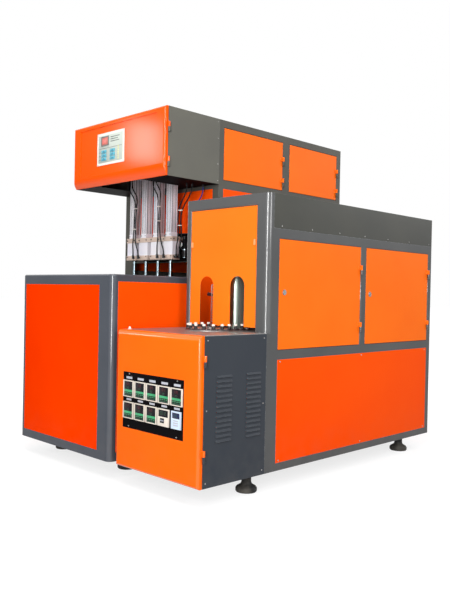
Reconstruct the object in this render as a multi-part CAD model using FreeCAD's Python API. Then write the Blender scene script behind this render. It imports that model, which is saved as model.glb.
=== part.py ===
import FreeCAD, Part
import math
import os

# Semi-automatic stretch blow moulding machine in two units that stand side by side.
#
# On the left the blow unit: a base cabinet with the mould clamp under its deck, a tower
# on the rear of the base, and a head that overhangs the deck and carries four stretch
# cylinders over four sealing cylinders. On the right the preform oven: a control box in
# front, and a tall cabinet through which a chain carries the preforms past the lamps.
#
# All sizes are millimetres. The design frame has X = 0 at the base cabinet's left side,
# Y = 0 at the cabinets' front faces and Z = 0 on the floor. place() moves every piece so
# that the origin ends up on the floor, under the middle of the whole machine.

V = FreeCAD.Vector

# ---------------------------------------------------------------- driving dimensions

# Cabinets
CABINET_BOTTOM = 95.0
FRAME_DEPTH = 40.0
REBATE_DEPTH = 20.0
LEDGE = 12.0
CORNER_RADIUS = 36.0
TOP_EDGE_RADIUS = 10.0
PANEL_DEPTH = 18.0
PANEL_SKIN = 2.0
SHEET = 3.0

# Base cabinet of the blow unit: frame bars are given by their width
BASE_WIDTH = 980.0
BASE_DEPTH = 2085.0
BASE_TOP = 1133.0
BASE_SILL = 50.0
BASE_FRONT_POSTS = (48.0, 119.0)
BASE_FRONT_HEAD_BAR = 60.0
BASE_SIDE_POST = 43.0
BASE_SIDE_HEAD_BAR = 40.0
BASE_MIDDLE_POST = (778.0, 826.0)
DECK_THICKNESS = 6.0
DECK_LEDGE = 15.0

# Tower and head of the blow unit
TOWER_WIDTH = 960.0
TOWER_FRONT = 802.0
HEAD_BOTTOM = 1725.0
HEAD_HEIGHT = 408.0
HEAD_FRONT = 354.0
HOOD_DEPTH = 27.0
HOOD_BORDER = 80.0
HOOD_FIELD_INSET = (70.0, 32.0)
HOOD_ROLLS = ((25.0, 70.0), (18.0, 18.0), (14.0, 14.0))
FIELD_DEPTH = 4.0
HEAD_SKIN = 2.0
HEAD_BEAM_SETBACK = 18.0
HEAD_FLOOR_CLEARANCE = 12.5
TOWER_FRONT_POST = 40.0
TOWER_MIDDLE_POST = (1415.0, 1485.0)
TOWER_REAR_POST = 48.0
HEAD_DOOR_BARS = (30.0, 46.0)
TOWER_SILL = 47.0
TOWER_HEAD_BAR = 25.0
TOWER_SIDE_MARGIN = 55.0
TOWER_THROAT_MARGIN = 80.0
TOWER_THROAT_HEIGHT = 107.0

# Blow station: four cylinder pairs in a row
STATIONS = 4
STATION_PITCH = 127.0
STATION_OFFSET = 10.0
STATION_Y = 665.0
CROSSHEAD_RISE = 234.0
CROSSHEAD_THICKNESS = 30.0
CROSSHEAD_NECK = 392.0
STRETCH_SIDE = 54.0
STRETCH_LENGTH = 430.0
STRETCH_CAP = 28.0
STRETCH_INSET = 1.5
STRETCH_GROOVE = (6.0, 3.0)
STRETCH_ROD_RADIUS = 6.0
STRETCH_ROD_LENGTH = 560.0
STRETCH_BORE_SPARE = 75.0
SEALING_WIDTH = 96.0
SEALING_DEPTH = 54.0
SEALING_CAP_DEPTH = 64.0
SEALING_LENGTH = 117.0
SEALING_CAP = 30.0
SEALING_INSET = 2.0
SEALING_ROD_RADIUS = 10.5
SEALING_ROD_HEADROOM = 2.0
NOZZLE_RADIUS = 16.0
NOZZLE_LENGTH = 25.0
NOZZLE_DROP = 8.0
NOZZLE_LIP = 4.0
NOZZLE_TAPER = 6.0
RUNNING_CLEARANCE = 0.08

# Bracket on the tower front, and the air regulator on it
BRACKET_THICKNESS = 12.0
BRACKET_WIDTH = 500.0
BRACKET_DROP = 122.0
BRACKET_RISE = 28.0
REGULATOR_OFFSET = 222.0
REGULATOR_SIDE = 40.0
REGULATOR_HEIGHT = 56.0
REGULATOR_DROP = 45.0
BOWL_RADIUS = 17.0
BOWL_LENGTH = 58.0
BOWL_RIM = (2.0, 8.0)
KNOB_RADIUS = 16.0
KNOB_HEIGHT = 28.0
KNOB_TAPER = (4.0, 5.0)
KNOB_EDGE = 3.0

# Mould and clamp under the deck
MOULD_DROP = 73.0
MOULD_HEIGHT = 360.0
MOULD_THICKNESS = 80.0
MOULD_MARGIN = 16.0
MOULD_OPENING = 110.0
CAVITY_RADIUS = 44.0
CAVITY_HEIGHT = 300.0
CAVITY_BASE_RADIUS = 14.0
NECK_RADIUS = 13.5
NECK_LENGTH = 20.0
SHOULDER_LENGTH = 62.0
PLATEN_WIDTH = 680.0
PLATEN_HEIGHT = 400.0
PLATEN_THICKNESS = 30.0
TIE_BAR_RADIUS = 16.0
TIE_BAR_SPAN = (620.0, 330.0)
CLAMP_HALF_LENGTH = 515.0
BED_CLEARANCE = 80.0
BED_BEAM_WIDTH = 60.0
BED_BEAM_HEIGHT = 60.0
BED_BEAM_SPACING = 540.0
BASE_RAIL_HEIGHT = 60.0
RAM_RADIUS = 25.0
RAM_LENGTH = 145.0
CLAMP_CYLINDER_RADIUS = 68.0
CLAMP_CYLINDER_HEAD = 156.0
CLAMP_HEAD_LENGTH = 30.0
CLAMP_FACE_GAP = 15.0
DECK_MOUTH_HALF_WIDTH = 285.0
DECK_MOUTH_REACH = (185.0, 125.0)

# Air receiver in the tower
RECEIVER_RADIUS = 190.0
RECEIVER_SKIRT_RADIUS = 150.0
RECEIVER_SKIRT_HEIGHT = 67.0
RECEIVER_HEIGHT = 480.0
RECEIVER_DOME = 70.0
RECEIVER_CROWN_RADIUS = 136.8
RECEIVER_SETBACK = 605.0

# Preform oven
OVEN_GAP = 58.0
OVEN_WIDTH = 662.0
OVEN_FRONT = 475.0
OVEN_DEPTH = 1705.0
COVER_BOTTOM = 1390.0
COVER_HEIGHT = 184.0
BOX_TOP = 834.0
BOX_DOOR_DEPTH = 30.0
BOX_DOOR_ROLLS = ((16.0, 16.0), (24.0, 30.0), (17.0, 17.0))
OVEN_FRONT_POST = 87.0
OVEN_MIDDLE_POST = (1324.0, 1380.0)
OVEN_REAR_POST = 44.0
MIDDLE_POST_INSET = 8.0
OVEN_HEAD_BAR = 52.0
OVEN_MIDDLE_BAR = 51.0
OVEN_DOOR_DROP = 93.0
OVEN_SILL = 42.0
REAR_MARGIN = 47.0
FRONT_FRAME_LEFT = 53.0
FRONT_FRAME_RIGHT = 91.0
FRONT_FRAME_HEAD = 62.0
FRONT_FRAME_BEAD = 12.0
FRONT_PANEL_SETBACK = 6.0
FRONT_PANEL_GAP = 24.0
ARCH_WIDTH = 108.0
ARCH_RISE = 300.0

# Conveyor
CHAIN_INSET = 311.0
CHAIN_FRONT_REACH = 75.0
CHAIN_REAR_MARGIN = 175.0
CHAIN_PITCH = 50.8
SPROCKET_TEETH = 15
TRACK_HALF_WIDTH = 20.0
TRACK_HEIGHT = 5.0
LINK_HALF_WIDTH = 11.0
LINK_NECK = 7.7
LINK_THICKNESS = 6.0
LINK_GAP = 1.0
SPINDLE_RADIUS = 9.0
SPINDLE_HEIGHT = 26.0
SPINDLE_SIDES = 8
SPROCKET_CLEARANCE = 2.5
SPROCKET_THICKNESS = 7.0
TOOTH_NOTCH = 9.0
HUB_RADIUS = 25.0
HUB_HEIGHT = 18.0
HUB_GAP = 0.3
SHAFT_RADIUS = 12.0
SHAFT_LENGTH = 70.0
IDLER_SHAFT_LENGTH = 36.0
SHAFT_END_GAP = 5.0
GEARBOX = (110.0, 140.0, 130.0)
MOTOR_RADIUS = 52.0
MOTOR_LENGTH = 150.0

# Lamp banks
LAMP_ROWS = 6
LAMP_PITCH = 40.0
LAMP_RISE = 68.0
LAMP_RADIUS = 5.0
LAMP_OVERHANG = 10.0
LAMP_CLEARANCE = 0.3
REFLECTOR_ENDS = (300.0, 110.2)
REFLECTOR_GAP = 40.0
REFLECTOR_DEPTH = 36.0
REFLECTOR_HEIGHT = 306.0
LAMP_SETBACK = 14.0
CORE_HALF_WIDTH = 55.0
CORE_ENDS = (200.0, 180.2)

# Instruments on the control box door
PLATE_INSET = 62.0
PLATE_WIDTH = 490.0
PLATE_HEIGHT = 298.0
PLATE_DROP = 223.0
PLATE_THICKNESS = 3.0
INSTRUMENT_WIDTH = 88.0
INSTRUMENT_HEIGHT = 88.0
INSTRUMENT_PITCH = 97.0
INSTRUMENT_ROW_PITCH = 114.0
INSTRUMENT_CORNER = (52.0, 88.0)
INSTRUMENT_COLUMNS = 5
INSTRUMENT_ROWS = 2
BEZEL_DEPTH = 8.0
INSTRUMENT_BODY = 66.0
INSTRUMENT_BODY_DEPTH = 55.0
DISPLAY_SIZE = (58.0, 26.0)
DISPLAY_RISE = 19.0
DISPLAY_RECESS = 2.0

# Control plate on the hood
KEYPAD_INSET = 276.0
KEYPAD_WIDTH = 290.0
KEYPAD_HEIGHT = 206.0
KEYPAD_DROP = 77.0
KEYPAD_THICKNESS = 3.0
KEY_RAISE = 1.5
KEY_COLUMNS = (50.0, 142.0)
KEY_ROWS = 3
KEY_PITCH = 24.0
KEY_BOTTOM = 28.0
KEY_SIZE = (54.0, 19.0)
WINDOW_SIZE = (70.0, 48.0)
WINDOW_CORNER = (50.0, 130.0)

# Louvres in the side of the control box
LOUVRE_ROWS = 14
LOUVRE_PITCH = 24.4
LOUVRE_DROP = 198.0
LOUVRE_LENGTH = 104.0
LOUVRE_STARTS = (115.0, 328.0)
LOUVRE_OPENING = 7.0
LOUVRE_RAISE = 7.0
LOUVRE_SLOPE = 10.0

# Weld-on barrel hinges, door locks and gaps; hinge insets are from the door's top and bottom
DOOR_GAP = 3.0
BARREL_RADIUS = 7.0
BARREL_LENGTH = 29.0
BARREL_STANDOFF = 0.5
HINGE_PIN_RADIUS = 3.0
LEAF_THICKNESS = 3.0
LEAF_WIDTH = 20.0
LOCK_INSET = 48.0
LOCK_RISE = 309.0
LOCK_RADIUS = 9.0
LOCK_HEAD_RADIUS = 12.0
LOCK_HEAD = 3.0
CAM_LENGTH = 54.0
CAM_WIDTH = 14.0
CAM_THICKNESS = 6.0
HOOD_HINGE_INSETS = (123.0, 81.0)
HEAD_DOOR_HINGE_INSETS = (132.0, 55.0)
BOX_DOOR_HINGE_INSETS = (126.0, 157.0)
OVEN_DOOR_HINGE_INSETS = (142.0, 109.0)

# Levelling feet
FOOT_RADIUS = 57.0
FOOT_RIM = 24.0
FOOT_EDGE = 4.0
FOOT_SOLE = 6.0
FOOT_FLARE = 5.0
FOOT_BELL = (16.0, 28.0)
FOOT_NECK_RADIUS = 26.0
FOOT_HEIGHT = 76.0
STUD_RADIUS = 10.0
NUT_RADIUS = 17.0
NUT_HEIGHT = 12.0
BASE_FOOT_INSET = 149.0
BASE_FOOT_INSETS_Y = (240.0, 240.0)
OVEN_FOOT_INSET = 75.0
OVEN_FOOT_REACH = 55.0
OVEN_FOOT_SETBACK = 255.0
FOOT_BEAM = 60.0
FOOT_BEAM_HEIGHT = 40.0

# Ports and fittings of the air lines, and the latches of the oven's front panel
ELBOW_RADIUS = 6.0
ELBOW_RISE = 18.0
STRETCH_PORT_DROP = 14.0
SEALING_PORT_RISE = 15.0
FITTING_RADIUS = 7.0
LATCH_SIZE = (12.0, 30.0)
LATCH_PROUD = 6.0
LATCH_DROP = 258.0

# Air hoses: outer radius, and the points that each one is led along by hand, with X and Y
# measured from the middle of the row of stations and Z from the floor. The last one on the
# right is the supply to the regulator.
HOSE_RADIUS = 4.0
HOSE_BEND_SHARE = 0.45
HOSE_ROUTES = {
    "air_hoses_left": (
        (
            (-175.0, -44.0, 1795.0), (-175.0, -44.0, 1770.0), (-160.0, -52.0, 1736.0),
            (-132.0, -58.0, 1706.0), (-102.0, -59.0, 1676.0), (-96.0, -57.0, 1640.0),
            (-106.0, -55.0, 1602.0), (-113.0, -53.0, 1560.0), (-116.0, -52.0, 1515.0),
            (-121.0, -52.0, 1468.0), (-122.0, -53.0, 1420.0), (-118.0, -53.0, 1373.0),
            (-107.0, -51.0, 1335.0), (-98.0, -44.0, 1308.0), (-98.0, -44.0, 1283.0),
        ),
        (
            (-203.0, -44.0, 1795.0), (-203.0, -44.0, 1770.0), (-188.0, -57.0, 1731.0),
            (-156.0, -66.0, 1697.0), (-121.0, -68.0, 1664.0), (-106.0, -66.0, 1625.0),
            (-115.0, -62.0, 1583.0), (-121.0, -60.0, 1538.0), (-124.0, -59.0, 1490.0),
            (-129.0, -59.0, 1443.0), (-131.0, -60.0, 1397.0), (-135.0, -60.0, 1362.0),
            (-143.0, -54.0, 1334.0), (-153.0, -44.0, 1308.0), (-153.0, -44.0, 1283.0),
        ),
    ),
    "air_hoses_middle": (
        (
            (79.0, -44.0, 1795.0), (79.0, -44.0, 1770.0), (97.0, -52.0, 1737.0),
            (128.0, -57.0, 1711.0), (147.0, -59.0, 1677.0), (140.0, -56.0, 1638.0),
            (134.0, -54.0, 1596.0), (138.0, -53.0, 1551.0), (137.0, -53.0, 1504.0),
            (135.0, -53.0, 1458.0), (140.0, -53.0, 1410.0), (150.0, -53.0, 1369.0),
            (161.0, -51.0, 1337.0), (168.0, -44.0, 1308.0), (168.0, -44.0, 1283.0),
        ),
        (
            (51.0, -44.0, 1795.0), (51.0, -44.0, 1770.0), (67.0, -58.0, 1731.0),
            (96.0, -67.0, 1700.0), (125.0, -68.0, 1668.0), (131.0, -65.0, 1628.0),
            (124.0, -62.0, 1584.0), (128.0, -60.0, 1538.0), (129.0, -60.0, 1490.0),
            (127.0, -61.0, 1443.0), (130.0, -61.0, 1397.0), (124.0, -60.0, 1362.0),
            (112.0, -53.0, 1334.0), (101.0, -44.0, 1308.0), (101.0, -44.0, 1283.0),
        ),
    ),
    "air_hoses_right": (
        (
            (338.0, -5.0, 1711.0), (338.0, -5.0, 1682.0), (322.0, -11.0, 1643.0),
            (297.0, -15.0, 1606.0), (278.0, -17.0, 1562.0), (271.0, -17.0, 1514.0),
            (276.0, -17.0, 1466.0), (279.0, -16.0, 1418.0), (271.0, -15.0, 1372.0),
            (260.0, -14.0, 1335.0), (256.5, -13.0, 1308.0), (256.5, -13.0, 1283.0),
        ),
        (
            (354.0, 25.0, 1711.0), (354.0, 25.0, 1682.0), (338.0, 14.0, 1640.0),
            (311.0, 5.0, 1600.0), (290.0, -1.0, 1556.0), (283.0, -3.0, 1508.0),
            (288.0, -3.0, 1460.0), (292.0, -2.0, 1412.0), (285.0, 1.0, 1367.0),
            (270.0, 8.0, 1334.0), (256.5, 13.0, 1308.0), (256.5, 13.0, 1283.0),
        ),
        (
            (376.0, 99.0, 1711.0), (376.0, 99.0, 1685.0), (362.0, 98.0, 1649.0),
            (334.0, 95.0, 1621.0), (305.0, 93.0, 1592.0), (288.0, 92.0, 1554.0),
            (286.0, 91.0, 1510.0), (288.0, 91.0, 1466.0), (276.0, 90.5, 1424.0),
            (260.0, 90.0, 1390.0), (260.0, 90.0, 1364.0),
        ),
    ),
}

# ---------------------------------------------------------------- derived places

OVEN_LEFT = BASE_WIDTH + OVEN_GAP
OVEN_RIGHT = OVEN_LEFT + OVEN_WIDTH
OVEN_BACK = OVEN_FRONT + OVEN_DEPTH
OVEN_TOP = COVER_BOTTOM + COVER_HEIGHT
TOWER_LEFT = BASE_WIDTH - TOWER_WIDTH
TOWER_RIGHT = BASE_WIDTH
HEAD_TOP = HEAD_BOTTOM + HEAD_HEIGHT
SHELL_FRONT = HEAD_FRONT + HOOD_DEPTH
BARREL_REACH = 2.0 * BARREL_RADIUS + BARREL_STANDOFF

# Openings in the frames, as limits on each axis
BASE_FRONT_OPENING = ((BASE_FRONT_POSTS[0], BASE_WIDTH - BASE_FRONT_POSTS[1]),
                      (CABINET_BOTTOM + BASE_SILL, BASE_TOP - BASE_FRONT_HEAD_BAR))
BASE_SIDE_BAYS = ((BASE_SIDE_POST, BASE_MIDDLE_POST[0]),
                  (BASE_MIDDLE_POST[1], BASE_DEPTH - BASE_SIDE_POST))
BASE_SIDE_HEIGHTS = (CABINET_BOTTOM + BASE_SILL, BASE_TOP - BASE_SIDE_HEAD_BAR)
TOWER_BAYS = ((TOWER_FRONT + TOWER_FRONT_POST, TOWER_MIDDLE_POST[0]),
              (TOWER_MIDDLE_POST[1], BASE_DEPTH - TOWER_REAR_POST))
HEAD_DOOR_HEIGHTS = (HEAD_BOTTOM + HEAD_DOOR_BARS[0], HEAD_TOP - HEAD_DOOR_BARS[1])
TOWER_PANEL_HEIGHTS = (BASE_TOP + TOWER_SILL, HEAD_BOTTOM - TOWER_HEAD_BAR)
TOWER_THROAT_TOP = BASE_TOP + TOWER_THROAT_HEIGHT
DOOR_BAYS = ((OVEN_FRONT + OVEN_FRONT_POST, OVEN_MIDDLE_POST[0]),
             (OVEN_MIDDLE_POST[1], OVEN_BACK - OVEN_REAR_POST))
DOOR_HEIGHTS = (BOX_TOP - OVEN_DOOR_DROP, COVER_BOTTOM - OVEN_HEAD_BAR)
LOWER_HEIGHTS = (CABINET_BOTTOM + OVEN_SILL, DOOR_HEIGHTS[0] - OVEN_MIDDLE_BAR)

# Blow station and clamp
DECK_BOTTOM = BASE_TOP - DECK_THICKNESS
STATION_X = BASE_WIDTH / 2.0 + STATION_OFFSET
NOZZLE_BOTTOM = BASE_TOP - NOZZLE_DROP
CROSSHEAD_BOTTOM = BASE_TOP + CROSSHEAD_RISE
CROSSHEAD_TOP = CROSSHEAD_BOTTOM + CROSSHEAD_THICKNESS
STRETCH_PORT_Z = CROSSHEAD_TOP + STRETCH_LENGTH - STRETCH_PORT_DROP
SEALING_PORT_Z = CROSSHEAD_BOTTOM - SEALING_LENGTH + SEALING_PORT_RISE
BRACKET_FRONT = TOWER_FRONT - BRACKET_THICKNESS
BRACKET_HEIGHTS = (CROSSHEAD_BOTTOM - BRACKET_DROP, CROSSHEAD_TOP + BRACKET_RISE)
TOWER_FRONT_PANEL_HEIGHTS = (BRACKET_HEIGHTS[1] + SHEET + PANEL_SKIN, TOWER_PANEL_HEIGHTS[1])
REGULATOR_X = STATION_X + REGULATOR_OFFSET
REGULATOR_HEIGHTS = (CROSSHEAD_BOTTOM - REGULATOR_DROP,
                     CROSSHEAD_BOTTOM - REGULATOR_DROP + REGULATOR_HEIGHT)
MOULD_TOP = BASE_TOP - MOULD_DROP
MOULD_WIDTH = STATIONS * STATION_PITCH + 2.0 * MOULD_MARGIN
MOULD_CENTRE_Z = MOULD_TOP - MOULD_HEIGHT / 2.0
PLATEN_INNER = MOULD_OPENING + MOULD_THICKNESS
PLATEN_OUTER = PLATEN_INNER + PLATEN_THICKNESS
CLAMP_BED_TOP = MOULD_CENTRE_Z - PLATEN_HEIGHT / 2.0 - BED_CLEARANCE
BASE_RAIL_TOP = CLAMP_BED_TOP - BED_BEAM_HEIGHT
BASE_RAIL_HEIGHTS = (BASE_RAIL_TOP - BASE_RAIL_HEIGHT, BASE_RAIL_TOP)
DECK_MOUTH_Y = (STATION_Y - DECK_MOUTH_REACH[0], STATION_Y + DECK_MOUTH_REACH[1])
RECEIVER_Y = BASE_DEPTH - RECEIVER_SETBACK
RECEIVER_HEIGHTS = (BASE_TOP + RECEIVER_SKIRT_HEIGHT,
                    BASE_TOP + RECEIVER_SKIRT_HEIGHT + RECEIVER_HEIGHT)

# Conveyor and lamps: the chain has as many links as fit the cabinet's depth
CONVEYOR_DECK_BOTTOM = BOX_TOP - SHEET
CONVEYOR_DECK_REAR = OVEN_BACK - FRAME_DEPTH
LINK_BOTTOM = BOX_TOP + TRACK_HEIGHT
CHAIN_CENTRE_X = OVEN_LEFT + CHAIN_INSET
CHAIN_FRONT_Y = OVEN_FRONT - CHAIN_FRONT_REACH
TRACK_RADIUS = SPROCKET_TEETH * CHAIN_PITCH / (2.0 * math.pi)
CHAIN_ROOM = OVEN_BACK - CHAIN_REAR_MARGIN - CHAIN_FRONT_Y
CHAIN_LINKS = SPROCKET_TEETH + math.floor(2.0 * CHAIN_ROOM / CHAIN_PITCH)
CHAIN_SPAN = (CHAIN_LINKS - SPROCKET_TEETH) * CHAIN_PITCH / 2.0
CHAIN_REAR_Y = CHAIN_FRONT_Y + CHAIN_SPAN
LAMP_BOTTOM = BOX_TOP + LAMP_RISE
REFLECTOR_FACE = TRACK_RADIUS + REFLECTOR_GAP
REFLECTOR_TOP = BOX_TOP + REFLECTOR_HEIGHT
REFLECTOR_Y = (CHAIN_FRONT_Y + REFLECTOR_ENDS[0], CHAIN_REAR_Y - REFLECTOR_ENDS[1])
CORE_Y = (CHAIN_FRONT_Y + CORE_ENDS[0], CHAIN_REAR_Y - CORE_ENDS[1])
ARCH_TOP = BOX_TOP + ARCH_RISE
FRONT_PANEL_BOTTOM = BOX_TOP + FRONT_PANEL_GAP
FRONT_PANEL_X = (OVEN_LEFT + FRONT_FRAME_LEFT, OVEN_RIGHT - FRONT_FRAME_RIGHT)
LATCH_Z = OVEN_TOP - LATCH_DROP

# Control box, instruments and control plate
BOX_BACK_OF_DOOR = BOX_DOOR_DEPTH + DOOR_GAP / 2.0
PLATE_X = (OVEN_LEFT + PLATE_INSET, OVEN_LEFT + PLATE_INSET + PLATE_WIDTH)
PLATE_Z = (BOX_TOP - PLATE_DROP - PLATE_HEIGHT, BOX_TOP - PLATE_DROP)
FRONT_MOST = PLATE_THICKNESS + BEZEL_DEPTH - FIELD_DEPTH
LOUVRE_TOP = BOX_TOP - LOUVRE_DROP
KEYPAD_X = (TOWER_LEFT + KEYPAD_INSET, TOWER_LEFT + KEYPAD_INSET + KEYPAD_WIDTH)
KEYPAD_Z = (HEAD_TOP - KEYPAD_DROP - KEYPAD_HEIGHT, HEAD_TOP - KEYPAD_DROP)

# Hinges and locks
HOOD_HINGES_Z = (HEAD_TOP - HOOD_HINGE_INSETS[0], HEAD_BOTTOM + HOOD_HINGE_INSETS[1])
HEAD_DOOR_HINGES_Z = (HEAD_DOOR_HEIGHTS[1] - HEAD_DOOR_HINGE_INSETS[0],
                      HEAD_DOOR_HEIGHTS[0] + HEAD_DOOR_HINGE_INSETS[1])
BOX_DOOR_HINGES_Z = (BOX_TOP - BOX_DOOR_HINGE_INSETS[0],
                     CABINET_BOTTOM + BOX_DOOR_HINGE_INSETS[1])
OVEN_DOOR_HINGES_Z = (DOOR_HEIGHTS[1] - OVEN_DOOR_HINGE_INSETS[0],
                      DOOR_HEIGHTS[0] + OVEN_DOOR_HINGE_INSETS[1])
LOCK_Z = DOOR_HEIGHTS[0] + LOCK_RISE

# Feet
BASE_FEET_X = (BASE_FOOT_INSET, BASE_WIDTH - BASE_FOOT_INSET)
BASE_FEET_Y = (BASE_FOOT_INSETS_Y[0], BASE_DEPTH - BASE_FOOT_INSETS_Y[1])
OVEN_FEET_Y = (OVEN_FRONT - OVEN_FOOT_REACH, OVEN_BACK - OVEN_FOOT_SETBACK)

# Middle of the machine's box: the hinge barrels reach furthest right, the instrument
# bezels furthest forward.
MIDDLE_X = (OVEN_RIGHT + BARREL_REACH) / 2.0
MIDDLE_Y = (OVEN_BACK - FRONT_MOST) / 2.0

# Faces of the two units: axis, position, outward sign
BASE_FRONT_FACE = ("y", 0.0, -1)
BASE_REAR_FACE = ("y", BASE_DEPTH, 1)
BASE_LEFT_FACE = ("x", 0.0, -1)
BASE_RIGHT_FACE = ("x", BASE_WIDTH, 1)
TOWER_FRONT_FACE = ("y", TOWER_FRONT, -1)
TOWER_LEFT_FACE = ("x", TOWER_LEFT, -1)
TOWER_RIGHT_FACE = ("x", TOWER_RIGHT, 1)
OVEN_RIGHT_FACE = ("x", OVEN_RIGHT, 1)
OVEN_LEFT_FACE = ("x", OVEN_LEFT, -1)
OVEN_REAR_FACE = ("y", OVEN_BACK, 1)
OVEN_FRONT_FACE = ("y", OVEN_FRONT, -1)


# ---------------------------------------------------------------- shared tools


def block(x, y, z):
    """Box between two limits on each axis."""
    return Part.makeBox(x[1] - x[0], y[1] - y[0], z[1] - z[0], V(x[0], y[0], z[0]))


def rod(radius, start, end):
    """Round bar from one point to another."""
    return Part.makeCylinder(radius, (end - start).Length, start, end - start)


def middle(centre, size):
    """Limits of a length centred on a place."""
    return (centre - size / 2.0, centre + size / 2.0)


def shrink(limits, by):
    """Limits moved inward by an amount at both ends."""
    return (limits[0] + by, limits[1] - by)


def fuse(shapes):
    """One clean solid out of several that touch or overlap."""
    return shapes[0].multiFuse(shapes[1:]).removeSplitter()


def outline(start, *steps):
    """Closed face through points; a step of two points is an arc through the first."""
    edges = []
    here = start
    for step in steps:
        if isinstance(step, tuple):
            edges.append(Part.Arc(here, step[0], step[1]).toShape())
            here = step[1]
        else:
            edges.append(Part.makeLine(here, step))
            here = step
    if (here - start).Length > 1e-6:
        edges.append(Part.makeLine(here, start))
    return Part.Face(Part.Wire(edges))


def revolved(profile, x, y):
    """Solid turned about the vertical line at x, y from (radius, height) points."""
    points = [V(x + radius, y, height) for radius, height in profile]
    face = Part.Face(Part.makePolygon(points + [points[0]]))
    return face.revolve(V(x, y, 0), V(0, 0, 1), 360)


def edges_where(shape, test):
    """Edges whose two ends both pass a test."""
    return [e for e in shape.Edges if all(test(v.Point) for v in e.Vertexes)]


def near(a, b):
    """Whether two lengths are the same place."""
    return abs(a - b) < 1e-3


def upright(edge):
    """Whether an edge stands straight up."""
    first, last = edge.Vertexes[0].Point, edge.Vertexes[-1].Point
    return near(first.x, last.x) and near(first.y, last.y)


def round_posts(shape, corners, radius):
    """Round the upright edges at the given x, y corners."""
    def at_corner(point):
        return any(near(point.x, x) and near(point.y, y) for x, y in corners)

    posts = [e for e in edges_where(shape, at_corner) if upright(e)]
    return shape.makeFillet(radius, posts)


def on_face(face, across, up, depth):
    """Block behind a cabinet face; depth counts inward from the face."""
    axis, at, out = face
    ends = sorted((at - out * depth[0], at - out * depth[1]))
    return block(ends, across, up) if axis == "x" else block(across, ends, up)


def open_up(shape, face, openings):
    """Cut openings with a rebate for a panel and a ledge behind it."""
    for wide, tall in openings:
        inner = (shrink(wide, LEDGE), shrink(tall, LEDGE))
        shape = shape.cut(on_face(face, wide, tall, (-1.0, REBATE_DEPTH)))
        shape = shape.cut(on_face(face, *inner, (0.0, FRAME_DEPTH + 1.0)))
    return shape


def framed_wall(face, across, up, openings):
    """Frame wall with rebated openings."""
    return open_up(on_face(face, across, up, (0.0, FRAME_DEPTH)), face, openings)


def pan(face, across, up, depth=PANEL_DEPTH, setback=0.0):
    """Sheet panel with its four edges folded back."""
    outer = on_face(face, across, up, (setback, setback + depth))
    inner = on_face(
        face, shrink(across, PANEL_SKIN), shrink(up, PANEL_SKIN),
        (setback + PANEL_SKIN, setback + depth + 1.0),
    )
    return outer.cut(inner)


def fixed_panel(face, across, up):
    """Panel that fills its opening and rests on the ledge."""
    return pan(face, across, up, REBATE_DEPTH)


def barrel_hinge(face_x, seam_y, middle_z):
    """Door half and frame half of a weld-on hinge, with the pin on the frame half.

    The barrel stands clear of the face, so the door can turn past a right angle.
    """
    axis_x = face_x + BARREL_STANDOFF + BARREL_RADIUS
    half_gap = DOOR_GAP / 2.0
    halves = []
    for side, low, high in (
        (-1, middle_z + BARREL_STANDOFF, middle_z + BARREL_LENGTH),
        (1, middle_z - BARREL_LENGTH, middle_z),
    ):
        leaf = sorted((seam_y + side * half_gap, seam_y + side * (half_gap + LEAF_WIDTH)))
        neck = sorted((seam_y + side * half_gap, seam_y + side * BARREL_RADIUS))
        barrel = rod(BARREL_RADIUS, V(axis_x, seam_y, low), V(axis_x, seam_y, high))
        halves.append(fuse([
            barrel,
            block((face_x, face_x + LEAF_THICKNESS), leaf, (low, high)),
            block((face_x, axis_x), neck, (low, high)),
        ]))
    door_half, frame_half = halves
    bore_bottom = V(axis_x, seam_y, middle_z)
    bore_top = V(axis_x, seam_y, middle_z + BARREL_LENGTH - 2.0 * BARREL_STANDOFF)
    bore = rod(HINGE_PIN_RADIUS + RUNNING_CLEARANCE, bore_bottom, bore_top)
    pin_top = bore_top - V(0, 0, BARREL_STANDOFF)
    pin = rod(HINGE_PIN_RADIUS, bore_bottom - V(0, 0, 1), pin_top)
    return door_half.cut(bore), fuse([frame_half, pin])


def hinge_set(face_x, seam_y, heights):
    """Door halves and frame halves of the hinges on one door."""
    pairs = [barrel_hinge(face_x, seam_y, z) for z in heights]
    return [pair[0] for pair in pairs], [pair[1] for pair in pairs]


def hung_door(bay, heights, face, hinges_z):
    """Side door with clearance in its opening, and the frame halves of its hinges."""
    across = shrink(bay, DOOR_GAP)
    up = shrink(heights, DOOR_GAP)
    seam = bay[1] - DOOR_GAP / 2.0
    door_halves, frame_halves = hinge_set(face[1], seam, hinges_z)
    return fuse([pan(face, across, up)] + door_halves), frame_halves


def stations():
    """X of each cylinder pair, from left to right."""
    first = STATION_X - (STATIONS - 1) * STATION_PITCH / 2.0
    return [first + i * STATION_PITCH for i in range(STATIONS)]


def place(shape):
    """Move a piece from the design frame to the machine's own origin."""
    moved = shape.copy()
    moved.translate(V(-MIDDLE_X, -MIDDLE_Y, 0))
    return moved


# ---------------------------------------------------------------- blow unit cabinets


def rounded_box(x, y, z):
    """Box with large vertical corners and a softly rounded top edge."""
    body = block(x, y, z)
    body = round_posts(body, [(a, b) for a in x for b in y], CORNER_RADIUS)
    top = edges_where(body, lambda point: near(point.z, z[1]))
    return body.makeFillet(TOP_EDGE_RADIUS, top)


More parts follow.
